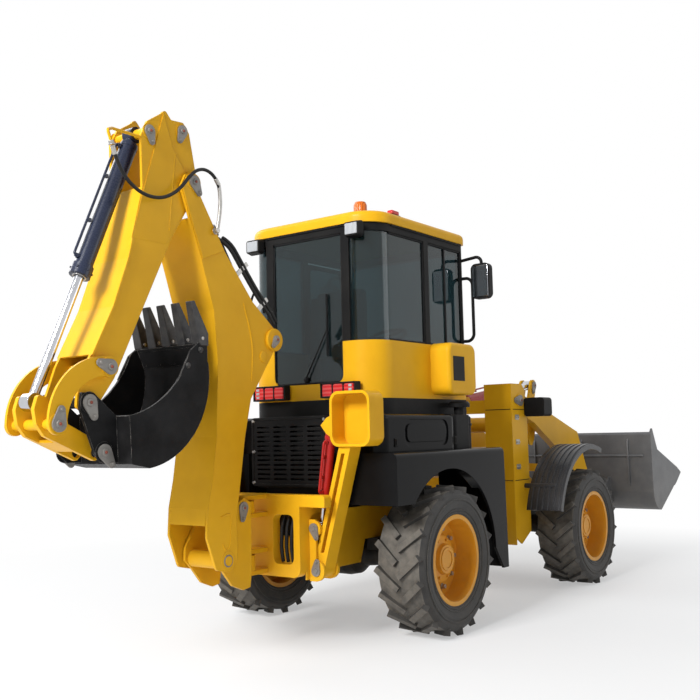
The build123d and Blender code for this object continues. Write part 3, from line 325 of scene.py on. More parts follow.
def smooth_line(points):
    """The points along a smooth open curve with the given control points."""
    curve = bpy.data.curves.new("line", "CURVE")
    curve.dimensions = "3D"
    spline = curve.splines.new("NURBS")
    spline.points.add(len(points) - 1)
    for place, point in zip(spline.points, points):
        place.co = (*at(*point), 1.0)
    spline.order_u = 3
    spline.use_endpoint_u = True
    spline.resolution_u = 6
    holder = bpy.data.objects.new("line", curve)
    mesh = bpy.data.meshes.new_from_object(holder)
    line = [v.co.copy() for v in mesh.vertices]
    bpy.data.objects.remove(holder)
    bpy.data.curves.remove(curve)
    bpy.data.meshes.remove(mesh)
    return line


class Piece:
    """One added piece: its geometry, the body that carries it, its slot and its finish."""

    SHARP = math.radians(38)

    def __init__(self, name, body, slot, material=None):
        self.name, self.body, self.slot = name, body, slot
        self.material = MATERIALS[material or slot]
        self.work = bmesh.new()

    def _circle(self, radius, reach, sides):
        angles = [2 * math.pi * i / sides for i in range(sides)]
        return [self.work.verts.new((radius * math.cos(a), radius * math.sin(a), reach)) for a in angles]

    def _skin(self, loops):
        for low, high in zip(loops, loops[1:]):
            for i in range(len(low)):
                j = (i + 1) % len(low)
                self.work.faces.new((low[i], low[j], high[j], high[i]))

    def _cap(self, loops):
        self.work.faces.new(list(reversed(loops[0])))
        self.work.faces.new(loops[-1])

    def _turned(self, loops, origin, ahead):
        ahead = Vector(ahead).normalized()
        across = across_of(ahead)
        turn = Matrix((across, ahead.cross(across), ahead)).transposed().to_4x4()
        bmesh.ops.transform(self.work, matrix=Matrix.Translation(at(*origin)) @ turn,
                            verts=[v for loop in loops for v in loop])

    def box(self, middle, size):
        verts = bmesh.ops.create_cube(self.work, size=1.0)["verts"]
        bmesh.ops.scale(self.work, vec=size, verts=verts)
        bmesh.ops.translate(self.work, vec=at(*middle), verts=verts)

    def lathe(self, profile, origin, ahead, sides=24):
        """Turns a profile of (radius, distance ahead) about a line through origin."""
        loops = [self._circle(radius, reach, sides) for radius, reach in profile]
        self._skin(loops)
        self._cap(loops)
        self._turned(loops, origin, ahead)

    def ring(self, inner, outer, thick, origin, ahead, sides=32):
        """A flat ring of that thickness, its near face at origin."""
        profile = ((outer, 0), (outer, thick), (inner, thick), (inner, 0))
        loops = [self._circle(radius, reach, sides) for radius, reach in profile]
        self._skin(loops + loops[:1])
        self._turned(loops, origin, ahead)

    def nut(self, origin, ahead, width, height):
        """A hexagon head on its washer."""
        self.lathe([(width * 0.62, 0), (width * 0.62, height * 0.18)], origin, ahead, 16)
        self.lathe([(width * 0.5, height * 0.18), (width * 0.5, height * 0.9), (width * 0.44, height)],
                   origin, ahead, 6)

    def rod(self, start, end, radius, sides=16):
        """A round bar with broken edges."""
        run = Vector(end) - Vector(start)
        edge = radius * 0.12
        small, far = radius - edge, run.length
        self.lathe([(small, 0), (radius, edge), (radius, far - edge), (small, far)], start, run, sides)

    def shell(self, near, far):
        """Two facing outlines, closed all round."""
        near = [self.work.verts.new(p) for p in near]
        far = [self.work.verts.new(p) for p in far]
        self.work.faces.new(near)
        self.work.faces.new(list(reversed(far)))
        for i in range(len(near)):
            j = (i + 1) % len(near)
            self.work.faces.new((near[j], near[i], far[i], far[j]))

    def plate(self, outline, y0, y1):
        """A flat plate of (forward, up) points between two sideways distances."""
        self.shell([at(x, y0, z) for x, z in outline], [at(x, y1, z) for x, z in outline])

    def slab(self, outline, out, thick):
        """A flat plate from an outline in space, thickened along out."""
        self.shell([at(*p) for p in outline], [at(*p) + Vector(out) * thick for p in outline])

    def tooth(self, side, y):
        """A cap with its own half width at each point of its side."""
        self.shell([at(x, y - half, z) for x, z, half in side], [at(x, y + half, z) for x, z, half in side])

    def doubler(self, outline, inner, side):
        """A plate lying on a side face, each point with its own outer distance."""
        self.shell([at(x, side * inner, z) for x, z, outer in outline],
                   [at(x, side * outer, z) for x, z, outer in outline])

    def keeper(self, middle, out, turn, radius, thick=0.010):
        """A pear-shaped pin keeper: a round end over the pin, a small end with its bolt."""
        middle, out, turn = Vector(middle), Vector(out), math.radians(turn)
        first = FORWARD if abs(out.x) < 0.5 else Vector((0, 1, 0))
        ahead = first * math.cos(turn) + UP * math.sin(turn)
        aside = UP * math.cos(turn) - first * math.sin(turn)
        small, reach = radius * 0.52, radius * 1.75
        lean = math.degrees(math.acos((radius - small) / reach))
        spots = [(0.0, radius, math.radians(lean + (360 - 2 * lean) * i / 20)) for i in range(21)]
        spots += [(reach, small, math.radians(-lean + 2 * lean * i / 10)) for i in range(11)]
        self.slab([middle + ahead * (d + r * math.cos(a)) + aside * r * math.sin(a) for d, r, a in spots],
                  out, thick)
        self.nut(middle + ahead * reach + out * thick, out, radius * 0.5, radius * 0.3)
        self.lathe([(radius * 0.5, 0), (radius * 0.5, thick * 0.4), (radius * 0.42, thick * 0.7)],
                   middle + out * thick, out, 20)

    def tube(self, points, radius, sides=12):
        """A pipe along a smooth line through the given control points."""
        line = smooth_line(points)
        across = None
        loops = []
        for i, point in enumerate(line):
            ahead = (line[min(i + 1, len(line) - 1)] - line[max(i - 1, 0)]).normalized()
            if across is None:
                across = across_of(ahead)
            across = (across - ahead * across.dot(ahead)).normalized()
            rise = ahead.cross(across)
            angles = [2 * math.pi * k / sides for k in range(sides)]
            loops.append([self.work.verts.new(point + radius * (across * math.cos(a) + rise * math.sin(a)))
                          for a in angles])
        self._skin(loops)
        self._cap(loops)

    def done(self, bevel=0.0, riding=True):
        bmesh.ops.recalc_face_normals(self.work, faces=self.work.faces[:])
        mesh = bpy.data.meshes.new(self.name)
        self.work.to_mesh(mesh)
        self.work.free()
        mesh.polygons.foreach_set("use_smooth", [True] * len(mesh.polygons))
        mesh.set_sharp_from_angle(angle=self.SHARP)
        made = bpy.data.objects.new(self.name, mesh)
        bpy.context.collection.objects.link(made)
        if bevel:
            soften = made.modifiers.new("soften", "BEVEL")
            soften.width = bevel
            soften.segments = 2
            soften.limit_method = "ANGLE"
        mesh.materials.append(self.material)
        if riding:
            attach(made, self.body)
        return made


# Camera at the photograph's viewing angle
CAMERA_AT = (-5.7084, -4.3340, 1.4419)
CAMERA_YAW, CAMERA_PITCH, CAMERA_ROLL = 36.681, 5.104, -1.304
CAMERA_LENS, CAMERA_SENSOR = 47.15, 36.0


def place_camera():
    yaw, pitch, roll = (math.radians(a) for a in (CAMERA_YAW, CAMERA_PITCH, CAMERA_ROLL))
    ahead = Vector((math.cos(yaw) * math.cos(pitch), math.sin(yaw) * math.cos(pitch), math.sin(pitch)))
    right = ahead.cross(UP).normalized()
    up = right.cross(ahead)
    right_rolled = right * math.cos(roll) + up * math.sin(roll)
    up_rolled = up * math.cos(roll) - right * math.sin(roll)
    data = bpy.data.cameras.new("camera")
    data.lens = CAMERA_LENS
    data.sensor_width = CAMERA_SENSOR
    camera = bpy.data.objects.new("camera", data)
    turn = Matrix((right_rolled, up_rolled, -ahead)).transposed().to_4x4()
    camera.matrix_world = Matrix.Translation(at(*CAMERA_AT)) @ turn
    bpy.context.collection.objects.link(camera)
    bpy.context.scene.camera = camera


# Wheels: nuts, hub cap with its bolts, and rings on the tyre's side walls
WHEELS = [
    # name, axle position, side
    ("rear_right", 0.0, -1),
    ("rear_left", 0.0, 1),
    ("front_right", WHEELBASE, -1),
    ("front_left", WHEELBASE, 1),
]
NUTS, NUT_CIRCLE, NUT_SIZE = 10, 0.215, (0.034, 0.03)
HUB_BOLTS, HUB_CIRCLE, HUB_BOLT_SIZE = 8, 0.137, (0.02, 0.016)
CAP_RING = (0.062, 0.082, 0.006)
DISC_FACE, HUB_FACE, CAP_FACE = TYRE_MID + 0.001, TYRE_MID + 0.050, TYRE_MID + 0.092
TYRE_RINGS = [
    # inner radius, outer radius, distance from the tyre's middle
    (0.330, 0.338, 0.175), (0.352, 0.357, 0.180), (0.418, 0.430, 0.1905),
]
TYRE_RING_THICK = 0.004


def round_axle(x, y, radius, count, first=0.0):
    """Places evenly spaced on a circle about a wheel's axle."""
    angles = [2 * math.pi * (i + first) / count for i in range(count)]
    return [(x + radius * math.cos(a), y, TYRE_R + radius * math.sin(a)) for a in angles]


def dress_wheels():
    for name, x, hand in WHEELS:
        out = (0, hand, 0)
        nuts = Piece("wheel_nuts_" + name, "wheel_" + name, "rod_chrome", "zinc")
        for spot in round_axle(x, hand * DISC_FACE, NUT_CIRCLE, NUTS):
            nuts.nut(spot, out, *NUT_SIZE)
        nuts.done()
        cap = Piece("hub_cap_" + name, "wheel_" + name, "paint_rim")
        cap.ring(*CAP_RING, (x, hand * CAP_FACE, TYRE_R), out)
        for spot in round_axle(x, hand * HUB_FACE, HUB_CIRCLE, HUB_BOLTS, 0.5):
            cap.nut(spot, out, *HUB_BOLT_SIZE)
        cap.done(0.0015)
        sides = Piece("tyre_rings_" + name, "wheel_" + name, "rubber_tyre")
        for face in (hand, -hand):
            for inner, outer, rise in TYRE_RINGS:
                middle = (x, hand * TYRE_MID + face * rise, TYRE_R)
                sides.ring(inner, outer, TYRE_RING_THICK, middle, (0, face, 0), 48)
        sides.done(0.001)


# Pins: a raised boss, a pear-shaped keeper with its bolt, and a grease cap on each end
PINS = [
    # body, forward, up, outer face from the middle line, keeper radius, keeper turn, boss slot
    ("boom", -1.745, 3.030, 0.1865, 0.042, 300, "paint_yellow"),
    ("boom", -1.010, 2.080, 0.202, 0.030, 235, "paint_yellow"),
    ("swing_post", -1.300, 0.965, 0.150, 0.040, 262, "paint_yellow"),
    ("dipper", -1.812, 3.348, 0.150, 0.038, 250, "paint_yellow"),
    ("dipper", -2.078, 3.284, 0.150, 0.038, 285, "paint_yellow"),
    ("hoe_bucket", -2.530, 1.635, 0.174, 0.046, 290, "hoe_black"),
    ("rocker_links", -2.410, 1.835, 0.200, 0.044, 165, "paint_yellow"),
    ("rocker_links", -2.747, 1.518, 0.200, 0.044, 80, "paint_yellow"),
    ("hoe_bucket", -2.430, 1.360, 0.174, 0.046, 305, "hoe_black"),
    ("front_body", 1.850, 1.690, 0.600, 0.050, 180, "paint_yellow"),
    ("loader_bucket", 3.830, 0.690, 0.586, 0.046, 100, "bucket_grey"),
    ("bell_crank", 3.060, 1.370, 0.070, 0.042, 0, "paint_yellow"),
    ("bell_crank", 3.265, 1.890, 0.070, 0.042, 250, "paint_yellow"),
    ("bell_crank", 2.815, 1.054, 0.070, 0.042, 90, "paint_yellow"),
    ("loader_bucket", 3.850, 0.990, 0.065, 0.040, 0, "bucket_grey"),
]
BOSS_THICK = 0.004
GREASE_OUT = 0.020
GREASE_CAP = [(0.009, 0), (0.009, 0.004), (0.005, 0.008)]
FOOT_PIN_X, FOOT_PIN_Z = -1.470, 0.648
FOOT_BOSS = (0.0385, 0.062, BOSS_THICK)
FOOT_COLLAR = (0.0305, 0.0390, 0.007)
LEG_PINS = [
    # sideways, up, keeper turn on the right side
    (0.400, 0.520, 100),
    (0.386, 0.800, 250),
]
LEG_FACE, LEG_KEEPER_R = -0.860, 0.036


def dress_pins():
    for i, (body, x, z, face, radius, turn, slot) in enumerate(PINS):
        keepers = Piece("pin_keepers_%d" % i, body, "rod_chrome", "plate_grey")
        bosses = Piece("pin_bosses_%d" % i, body, slot)
        caps = Piece("grease_caps_%d" % i, body, "barrel_red", "grease_red")
        for s in SIDES:
            out = (0, s, 0)
            bosses.ring(radius * 0.9, radius * 1.32, BOSS_THICK, (x, s * face, z), out)
            keepers.keeper((x, s * (face + BOSS_THICK), z), out, turn, radius)
            caps.lathe(GREASE_CAP, (x, s * (face + GREASE_OUT), z), out, 12)
        keepers.done(0.0012)
        bosses.done(0.001)
        caps.done()
    foot = Piece("boom_foot_bosses", "boom", "paint_yellow")
    collar = Piece("boom_foot_collars", "boom", "rod_chrome", "plate_grey")
    for s in SIDES:
        middle = (FOOT_PIN_X, s * BOOM_FACE, FOOT_PIN_Z)
        foot.ring(*FOOT_BOSS, middle, (0, s, 0))
        collar.ring(*FOOT_COLLAR, middle, (0, s, 0))
    foot.done(0.0012)
    collar.done(0.001)
    keepers = Piece("leg_pin_keepers", "rear_body", "rod_chrome", "plate_grey")
    for s in SIDES:
        for y, z, turn in LEG_PINS:
            keepers.keeper((LEG_FACE, s * y, z), BACKWARD, turn if s < 0 else 180 - turn, LEG_KEEPER_R)
    keepers.done(0.0012)


# Cylinders: gland with its bolts, base band, ports, a pipe along the barrel and the rod's wiper
CYLINDERS = [
    # name, body, base, eye, barrel radius, barrel length, side of the pipe, slot
    ("boom", "boom_barrel", (-1.300, 0, 0.965), (-1.110, 0, 1.960), 0.062, 0.860, (1, 0, 0), "barrel_navy"),
    ("dipper", "dipper_barrel", (-1.010, 0, 2.080), (-1.812, 0, 3.348), 0.060, 0.860, (1, 0, 0),
     "barrel_navy"),
    ("hoe", "hoe_barrel", (-2.078, 0, 3.284), (-2.775, 0, 1.640), 0.052, 1.000, (-1, 0, 0.3), "barrel_navy"),
    ("tilt", "tilt_barrel", (1.850, 0, 1.690), (3.265, 0, 1.890), 0.060, 0.780, (0, 0, 1), "barrel_red"),
    ("lift_right", "lift_barrels", (1.765, -0.385, 0.510), (2.400, -0.385, 1.330), 0.048, 0.836, (0, 1, 0),
     "barrel_navy"),
    ("lift_left", "lift_barrels", (1.765, 0.385, 0.510), (2.400, 0.385, 1.330), 0.048, 0.836, (0, -1, 0),
     "barrel_navy"),
    ("stab_right", "stabilizer_right_barrel", (-0.775, -0.490, 1.490), (-0.775, -0.386, 0.800), 0.036, 0.560,
     BACKWARD, "barrel_red"),
    ("stab_left", "stabilizer_left_barrel", (-0.775, 0.490, 1.490), (-0.775, 0.386, 0.800), 0.036, 0.560,
     BACKWARD, "barrel_red"),
]
GLAND_LONG, GLAND_THICK = 0.070, 0.010
GLAND_BOLTS, GLAND_BOLT_BACK, GLAND_BOLT = 6, 0.036, (0.012, 0.007)
BAND_AT, BAND_LONG, BAND_THICK = 0.075, 0.022, 0.003
PORT_LOW, PORT_HIGH = 0.115, 0.105
PORT_SUNK = 0.004
PORT = [(0.016, 0), (0.016, 0.014), (0.012, 0.018), (0.012, 0.026)]
PIPE_R, PIPE_OUT, PIPE_SUNK, PIPE_BEND = 0.008, 0.014, 0.004, 0.03
PIPE_GAP = 0.018
CLIP_OUT, CLIP = 0.002, (0.022, 0.022, 0.022)
WIPER_THICK = 0.006
SUNK = 0.001


def dress_cylinders():
    for name, body, base, eye, radius, length, out, slot in CYLINDERS:
        start, run = Vector(base), (Vector(eye) - Vector(base)).normalized()
        out = (Vector(out) - run * run.dot(Vector(out))).normalized()
        side = run.cross(out)
        ports = (PORT_LOW, length - PORT_HIGH)
        bands = Piece("cylinder_bands_" + name, body, slot)
        gland = start + run * (length - GLAND_LONG - SUNK)
        bands.ring(radius - SUNK, radius + GLAND_THICK, GLAND_LONG, gland, run)
        bands.ring(radius - SUNK, radius + BAND_THICK, BAND_LONG, start + run * BAND_AT, run)
        for reach in ports:
            bands.lathe(PORT, start + run * reach + out * (radius - PORT_SUNK), out, 12)
        for k in range(GLAND_BOLTS):
            a = 2 * math.pi * (k + 0.5) / GLAND_BOLTS
            away = out * math.cos(a) + side * math.sin(a)
            spot = start + run * (length - GLAND_BOLT_BACK) + away * (radius + GLAND_THICK - SUNK)
            bands.nut(spot, away, *GLAND_BOLT)
        bands.done(0.0015)
        lines = Piece("cylinder_pipe_" + name, body, slot)
        low, high = (start + run * reach + out * (radius + PIPE_GAP) for reach in ports)
        rise, bend = out * PIPE_OUT, run * PIPE_BEND
        lines.tube([low - out * PIPE_SUNK, low + rise, low + rise + bend, high + rise - bend, high + rise,
                    high - out * PIPE_SUNK], PIPE_R)
        for share in (0.3, 0.7):
            lines.box(low.lerp(high, share) + out * CLIP_OUT, CLIP)
        lines.done()
        wiper = Piece("cylinder_wiper_" + name, body, "rod_chrome", "zinc")
        wiper.ring(radius * 0.62, radius * 0.8, WIPER_THICK, start + run * (length - SUNK), run)
        wiper.done(0.001)


# Hose loop from the pipe on the dipper over the boom's tip
HOSE_Y = -0.213
HOSE_R = 0.011
HOSE_ROUTE = [
    # forward, up
    (-2.405, 3.105), (-2.372, 3.020), (-2.318, 2.944), (-2.240, 2.886), (-2.142, 2.858), (-2.040, 2.866),
    (-1.948, 2.908), (-1.874, 2.970), (-1.814, 3.042), (-1.754, 3.100), (-1.678, 3.126), (-1.602, 3.106),
    (-1.552, 3.046), (-1.538, 2.968), (-1.543, 2.888), (-1.555, 2.812), (-1.572, 2.745),
]
PIPE_FROM = 12
COLLAR_R, COLLAR_LONG = HOSE_R + 0.003, 0.055
PIPE_FOOT_Y = -0.196


def make_hose():
    stops = [Vector((x, HOSE_Y, z)) for x, z in HOSE_ROUTE]
    line = smooth_line(stops)
    hose = Piece("hose_loop", "dipper", "hose_rubber")
    hose.tube(stops, HOSE_R, 16)
    made = hose.done(riding=False)
    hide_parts("boom_hose")
    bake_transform(made)
    first = (stops[1] - stops[0]).normalized()
    ends = Piece("hose_collar_dipper", "dipper", "rod_chrome", "zinc")
    ends.rod(stops[0], stops[0] + first * COLLAR_LONG, COLLAR_R)
    ends.nut(stops[0] - first * 0.004, -first, 0.034, 0.024)
    ends.done(0.001)
    pipe = Piece("hose_pipe_boom", "boom", "rod_chrome", "zinc")
    pipe.tube(stops[PIPE_FROM:], HOSE_R + 0.0012, 16)
    pipe.nut((stops[-1].x, PIPE_FOOT_Y, stops[-1].z), (0, -1, 0), 0.036, 0.030)
    pipe.rod(stops[PIPE_FROM], stops[PIPE_FROM].lerp(stops[PIPE_FROM - 1], 0.6), COLLAR_R)
    pipe.done()


# Cab windows: rubber seals, wiper, roof gutter and mirror glass
SEAL, SEAL_DEEP = 0.014, 0.012
REAR_PANE_X, FRONT_PANE_X, SIDE_PANE_Y = -0.409, 0.879, 0.609
PANE_LOW, PANE_HIGH, PANE_MID, PANE_TALL = 2.107, 2.893, 2.5, 0.79
RIGHT_POSTS = ((0.327, SEAL), (0.575, 0.018), (0.825, SEAL))
GUTTER_Z, GUTTER = 2.953, (0.013, 0.016)


def dress_windows():
    seals = Piece("window_seals", "rear_body", "trim_black")
    for y in (-0.327, 0.327):
        seals.box((REAR_PANE_X, y, 2.35), (SEAL_DEEP, SEAL, 1.06))
    for z in (1.808, PANE_HIGH):
        seals.box((REAR_PANE_X, 0, z), (SEAL_DEEP, 0.64, SEAL))
    for s in SIDES:
        for z in (PANE_LOW, PANE_HIGH):
            seals.box((0.025, s * SIDE_PANE_Y, z), (0.47, SEAL_DEEP, SEAL))
        seals.box((0.254, s * SIDE_PANE_Y, PANE_MID), (SEAL, SEAL_DEEP, PANE_TALL))
    for x, wide in RIGHT_POSTS:
        seals.box((x, -SIDE_PANE_Y, PANE_MID), (wide, SEAL, PANE_TALL))
    for z in (PANE_LOW, PANE_HIGH):
        seals.box((0.575, -SIDE_PANE_Y, z), (0.50, SEAL, SEAL))
    for y in (-0.543, 0.543):
        seals.box((FRONT_PANE_X, y, PANE_MID), (SEAL_DEEP, SEAL, PANE_TALL))
    for z in (PANE_LOW, PANE_HIGH):
        seals.box((FRONT_PANE_X, 0, z), (SEAL_DEEP, 1.09, SEAL))
    seals.done(0.003)

    wiper = Piece("rear_wiper", "rear_body", "trim_black")
    wiper.lathe([(0.022, 0), (0.022, 0.018), (0.014, 0.024)], (-0.405, 0.02, 1.835), BACKWARD, 16)
    wiper.rod((-0.426, 0.02, 1.835), (-0.424, -0.19, 2.20), 0.006, 8)
    wiper.box((-0.421, -0.19, 2.23), (0.012, 0.012, 0.46))
    wiper.done(0.002)

    deep, tall = GUTTER
    gutter = Piece("roof_gutter", "rear_body", "trim_black")
    gutter.box((-0.4235, 0, GUTTER_Z), (deep, 0.78, tall))
    for s in SIDES:
        gutter.box((0.32, s * 0.6235, GUTTER_Z), (1.02, deep, tall))
    gutter.done(0.003)

    glass = Piece("mirror_glass", "rear_body", "rod_chrome")
    for s in SIDES:
        glass.box((0.8385, s * 0.790, 2.64), (0.004, 0.140, 0.255))
    glass.done(0.0015)


# Cab lamps: work lamps, beacon, roof marker and rear lamps
WORK_LAMP_Y = 0.480
WORK_BARS, WORK_BAR_X, WORK_BAR_STEP = 7, -0.4905, 0.016
BEACON = (-0.230, -0.380, ROOF_TOP)
BEACON_LENS = [(0.0515, 0.027), (0.0500, 0.085), (0.0395, 0.1065), (0.012, 0.1115)]
BEACON_BASE = [(0.066, -0.004), (0.066, 0.010), (0.056, 0.014), (0.056, 0.030), (0.051, 0.033)]
MARKER_Z = ROOF_TOP + 0.009
MARKER_LENS = [(-0.108, -0.585, MARKER_Z), (-0.012, -0.585, MARKER_Z), (-0.012, -0.535, MARKER_Z),
               (-0.108, -0.535, MARKER_Z)]
REAR_LAMP_X, REAR_LAMP_Y, REAR_LAMP_Z = -0.462, 0.330, 1.745


def dress_lamps():
    lens = Piece("work_lamp_lenses", "rear_body", "cab_glass", "lamp_white")
    bars = Piece("work_lamp_reflectors", "rear_body", "rod_chrome", "zinc")
    for s in SIDES:
        lens.box((-0.4925, s * WORK_LAMP_Y, 2.90), (0.008, 0.108, 0.080))
        for k in range(WORK_BARS):
            y = s * WORK_LAMP_Y - 0.048 + k * WORK_BAR_STEP
            bars.rod((WORK_BAR_X, y, 2.862), (WORK_BAR_X, y, 2.938), 0.006, 10)
    lens.done(0.003)
    bars.done()

    beacon = Piece("beacon_lens", "rear_body", "lamp_red", "lamp_amber")
    beacon.lathe(BEACON_LENS, BEACON, UP, 28)
    beacon.done()
    base = Piece("beacon_base", "rear_body", "rod_chrome", "zinc")
    base.lathe(BEACON_BASE, BEACON, UP, 28)
    base.done(0.001)
    marker = Piece("roof_marker", "rear_body", "trim_black")
    marker.box((-0.060, -0.560, ROOF_TOP + 0.004), (0.110, 0.060, 0.012))
    marker.done(0.002)
    marker_lens = Piece("roof_marker_lens", "rear_body", "lamp_red")
    marker_lens.slab(MARKER_LENS, UP, 0.034)
    marker_lens.done(0.009)

    housing = Piece("rear_lamp_housings", "rear_body", "trim_black")
    strips = Piece("rear_lamp_reflectors", "rear_body", "cab_glass", "lamp_white")
    for s in SIDES:
        for z in (1.695, 1.795):
            housing.box((REAR_LAMP_X, s * REAR_LAMP_Y, z), (0.066, 0.316, 0.012))
        for y in (0.176, 0.484):
            housing.box((REAR_LAMP_X, s * y, REAR_LAMP_Z), (0.066, 0.012, 0.112))
        for dy in (-0.049, 0.049):
            housing.box((-0.486, s * REAR_LAMP_Y + dy, REAR_LAMP_Z), (0.020, 0.010, 0.100))
        for k in range(3):
            strips.box((-0.4935, s * (REAR_LAMP_Y + 0.112), 1.717 + k * 0.028), (0.004, 0.030, 0.018))
    housing.done(0.003)
    strips.done(0.002)


# Cab fittings: door handle and the climate box's vent
def dress_fittings():
    handle = Piece("door_handle", "cab_door", "rod_chrome", "zinc")
    handle.rod((0.745, 0.655, 2.06), (0.835, 0.655, 2.06), 0.008)
    handle.done()
    vent = Piece("climate_vent_frame", "rear_body", "trim_black")
    vent.box((0.45, -0.7905, 1.91), (0.17, 0.005, 0.19))
    vent.done(0.004)


# Seat: cushion and back
SEAT_PADS = [
    # name, middle, size
    ("seat_cushion", (0.16, 0, 2.10), (0.40, 0.46, 0.09)),
    ("seat_back", (0.015, 0, 2.33), (0.08, 0.44, 0.44)),
]
PAD_CREASE, PAD_FILL = 0.55, 0.8


def dress_seat():
    for name, middle, size in SEAT_PADS:
        pad = Piece(name, "rear_body", "trim_black", "seat_cloth")
        pad.box(middle, size)
        made = pad.done()
        puff = made.modifiers.new("puff", "SUBSURF")
        puff.levels = puff.render_levels = 3
        hold_corners(made, PAD_CREASE)


def hold_corners(made, keep):
    """Keeps a cushion's corners fairly square."""
    work = bmesh.new()
    work.from_mesh(made.data)
    layer = work.edges.layers.float.get("crease_edge") or work.edges.layers.float.new("crease_edge")
    for edge in work.edges:
        edge[layer] = keep
    work.to_mesh(made.data)
    work.free()


# Rear body: grille bolts, radiator core, lines in the backhoe frame and cover latches
GRILLE_X, GRILLE_BOLT = -0.660, (0.022, 0.012)
CORE_BARS, CORE_LOW, CORE_STEP = 26, 1.055, 0.019
CORE_SKIRT = [(-0.610, 0.985), (0.05, 0.985), (0.05, 1.250), (-0.610, 1.250)]
FRAME_LINE = [
    # forward, bulge sideways, up
    (-0.905, 0.0, 0.575), (-0.925, 0.0, 0.66), (-0.930, 0.010, 0.74), (-0.915, 0.0, 0.82),
    (-0.880, 0.0, 0.885),
]
FRAME_LINE_R = 0.013


def dress_body():
    bolts = Piece("body_bolts", "rear_body", "rod_chrome", "zinc")
    for y in (-0.335, 0.335):
        for z in (1.085, 1.31, 1.535):
            bolts.nut((GRILLE_X, y, z), BACKWARD, *GRILLE_BOLT)
    bolts.done()
    core = Piece("radiator_core", "rear_body", "black_metal")
    for k in range(CORE_BARS):
        core.box((-0.600, 0, CORE_LOW + k * CORE_STEP), (0.026, 0.680, 0.012))
    core.box((-0.585, 0, 1.295), (0.006, 0.690, 0.500))
    for s in SIDES:
        core.plate(CORE_SKIRT, s * 0.430, s * 0.436)
    core.done()
    lines = Piece("frame_lines", "rear_body", "hose_rubber")
    for s in SIDES:
        for k in range(3):
            y = s * (0.150 + 0.045 * k)
            lines.tube([(x, y + s * bulge, z) for x, bulge, z in FRAME_LINE], FRAME_LINE_R)
    lines.done()
    latch = Piece("cover_latches", "rear_body", "black_metal")
    for s in SIDES:
        for x in (-0.45, 0.36):
            latch.box((x, s * 0.7925, 1.36), (0.03, 0.007, 0.06))
            latch.rod((x, s * 0.797, 1.345), (x, s * 0.797, 1.385), 0.006, 8)
    latch.done(0.0015)


# Backhoe: doubler plates, weld beads and the lines along the boom's edge
DIPPER_PEAK = [
    # forward, up, outer face
    (-1.965, 3.425, 0.1555), (-1.885, 3.210, 0.1555), (-1.790, 3.095, 0.1555), (-1.768, 2.885, 0.1545),
    (-1.905, 2.672, 0.1515), (-1.945, 2.606, 0.1500), (-2.205, 2.606, 0.1500), (-2.145, 2.850, 0.1550),
    (-2.060, 3.120, 0.1555),
]
BOOM_TIP = [
    (-1.842, 2.985, 0.1865), (-1.804, 3.064, 0.1865), (-1.745, 3.092, 0.1865), (-1.698, 3.064, 0.1865),
    (-1.698, 2.966, 0.1865), (-1.478, 2.630, 0.1855), (-1.671, 2.552, 0.1855),
]
FOOT_BEAD = [
    # forward, up
    (-1.530, 0.925), (-1.480, 0.940), (-1.438, 0.940), (-1.440, 0.840), (-1.446, 0.750), (-1.470, 0.712),
    (-1.500, 0.715), (-1.515, 0.760),
]
BOOM_RIDGE = [
    (-1.300, 2.310), (-1.287, 2.265), (-1.250, 2.165), (-1.217, 2.032), (-1.222, 1.900), (-1.232, 1.790),
]
DIPPER_SEAM = [(-1.866, 3.200), (-1.900, 2.955), (-1.922, 2.690)]
LINE_GUIDE = [
    (-1.215, 2.320), (-1.195, 2.375), (-1.165, 2.400), (-1.130, 2.395), (-1.105, 2.350), (-1.085, 2.260),
]
BOOM_LINE = [
    (-1.500, 2.700), (-1.425, 2.680), (-1.340, 2.580), (-1.240, 2.460), (-1.140, 2.350), (-1.040, 2.262),
    (-0.985, 2.190),
]
LINE_CLIP = [(-0.030, -0.030), (0.085, 0.070), (0.105, 0.047), (-0.010, -0.053)]
LINE_Y, LINE_R, GUIDE_R = 0.168, 0.0125, 0.008
BEAD_R, SEAM_R = 0.005, 0.003
EAR_BOSS = [(0.078, 0), (0.078, 0.018), (0.074, 0.0225)]
ROD_BOSS = [(0.040, 0), (0.040, 0.005), (0.036, 0.008)]


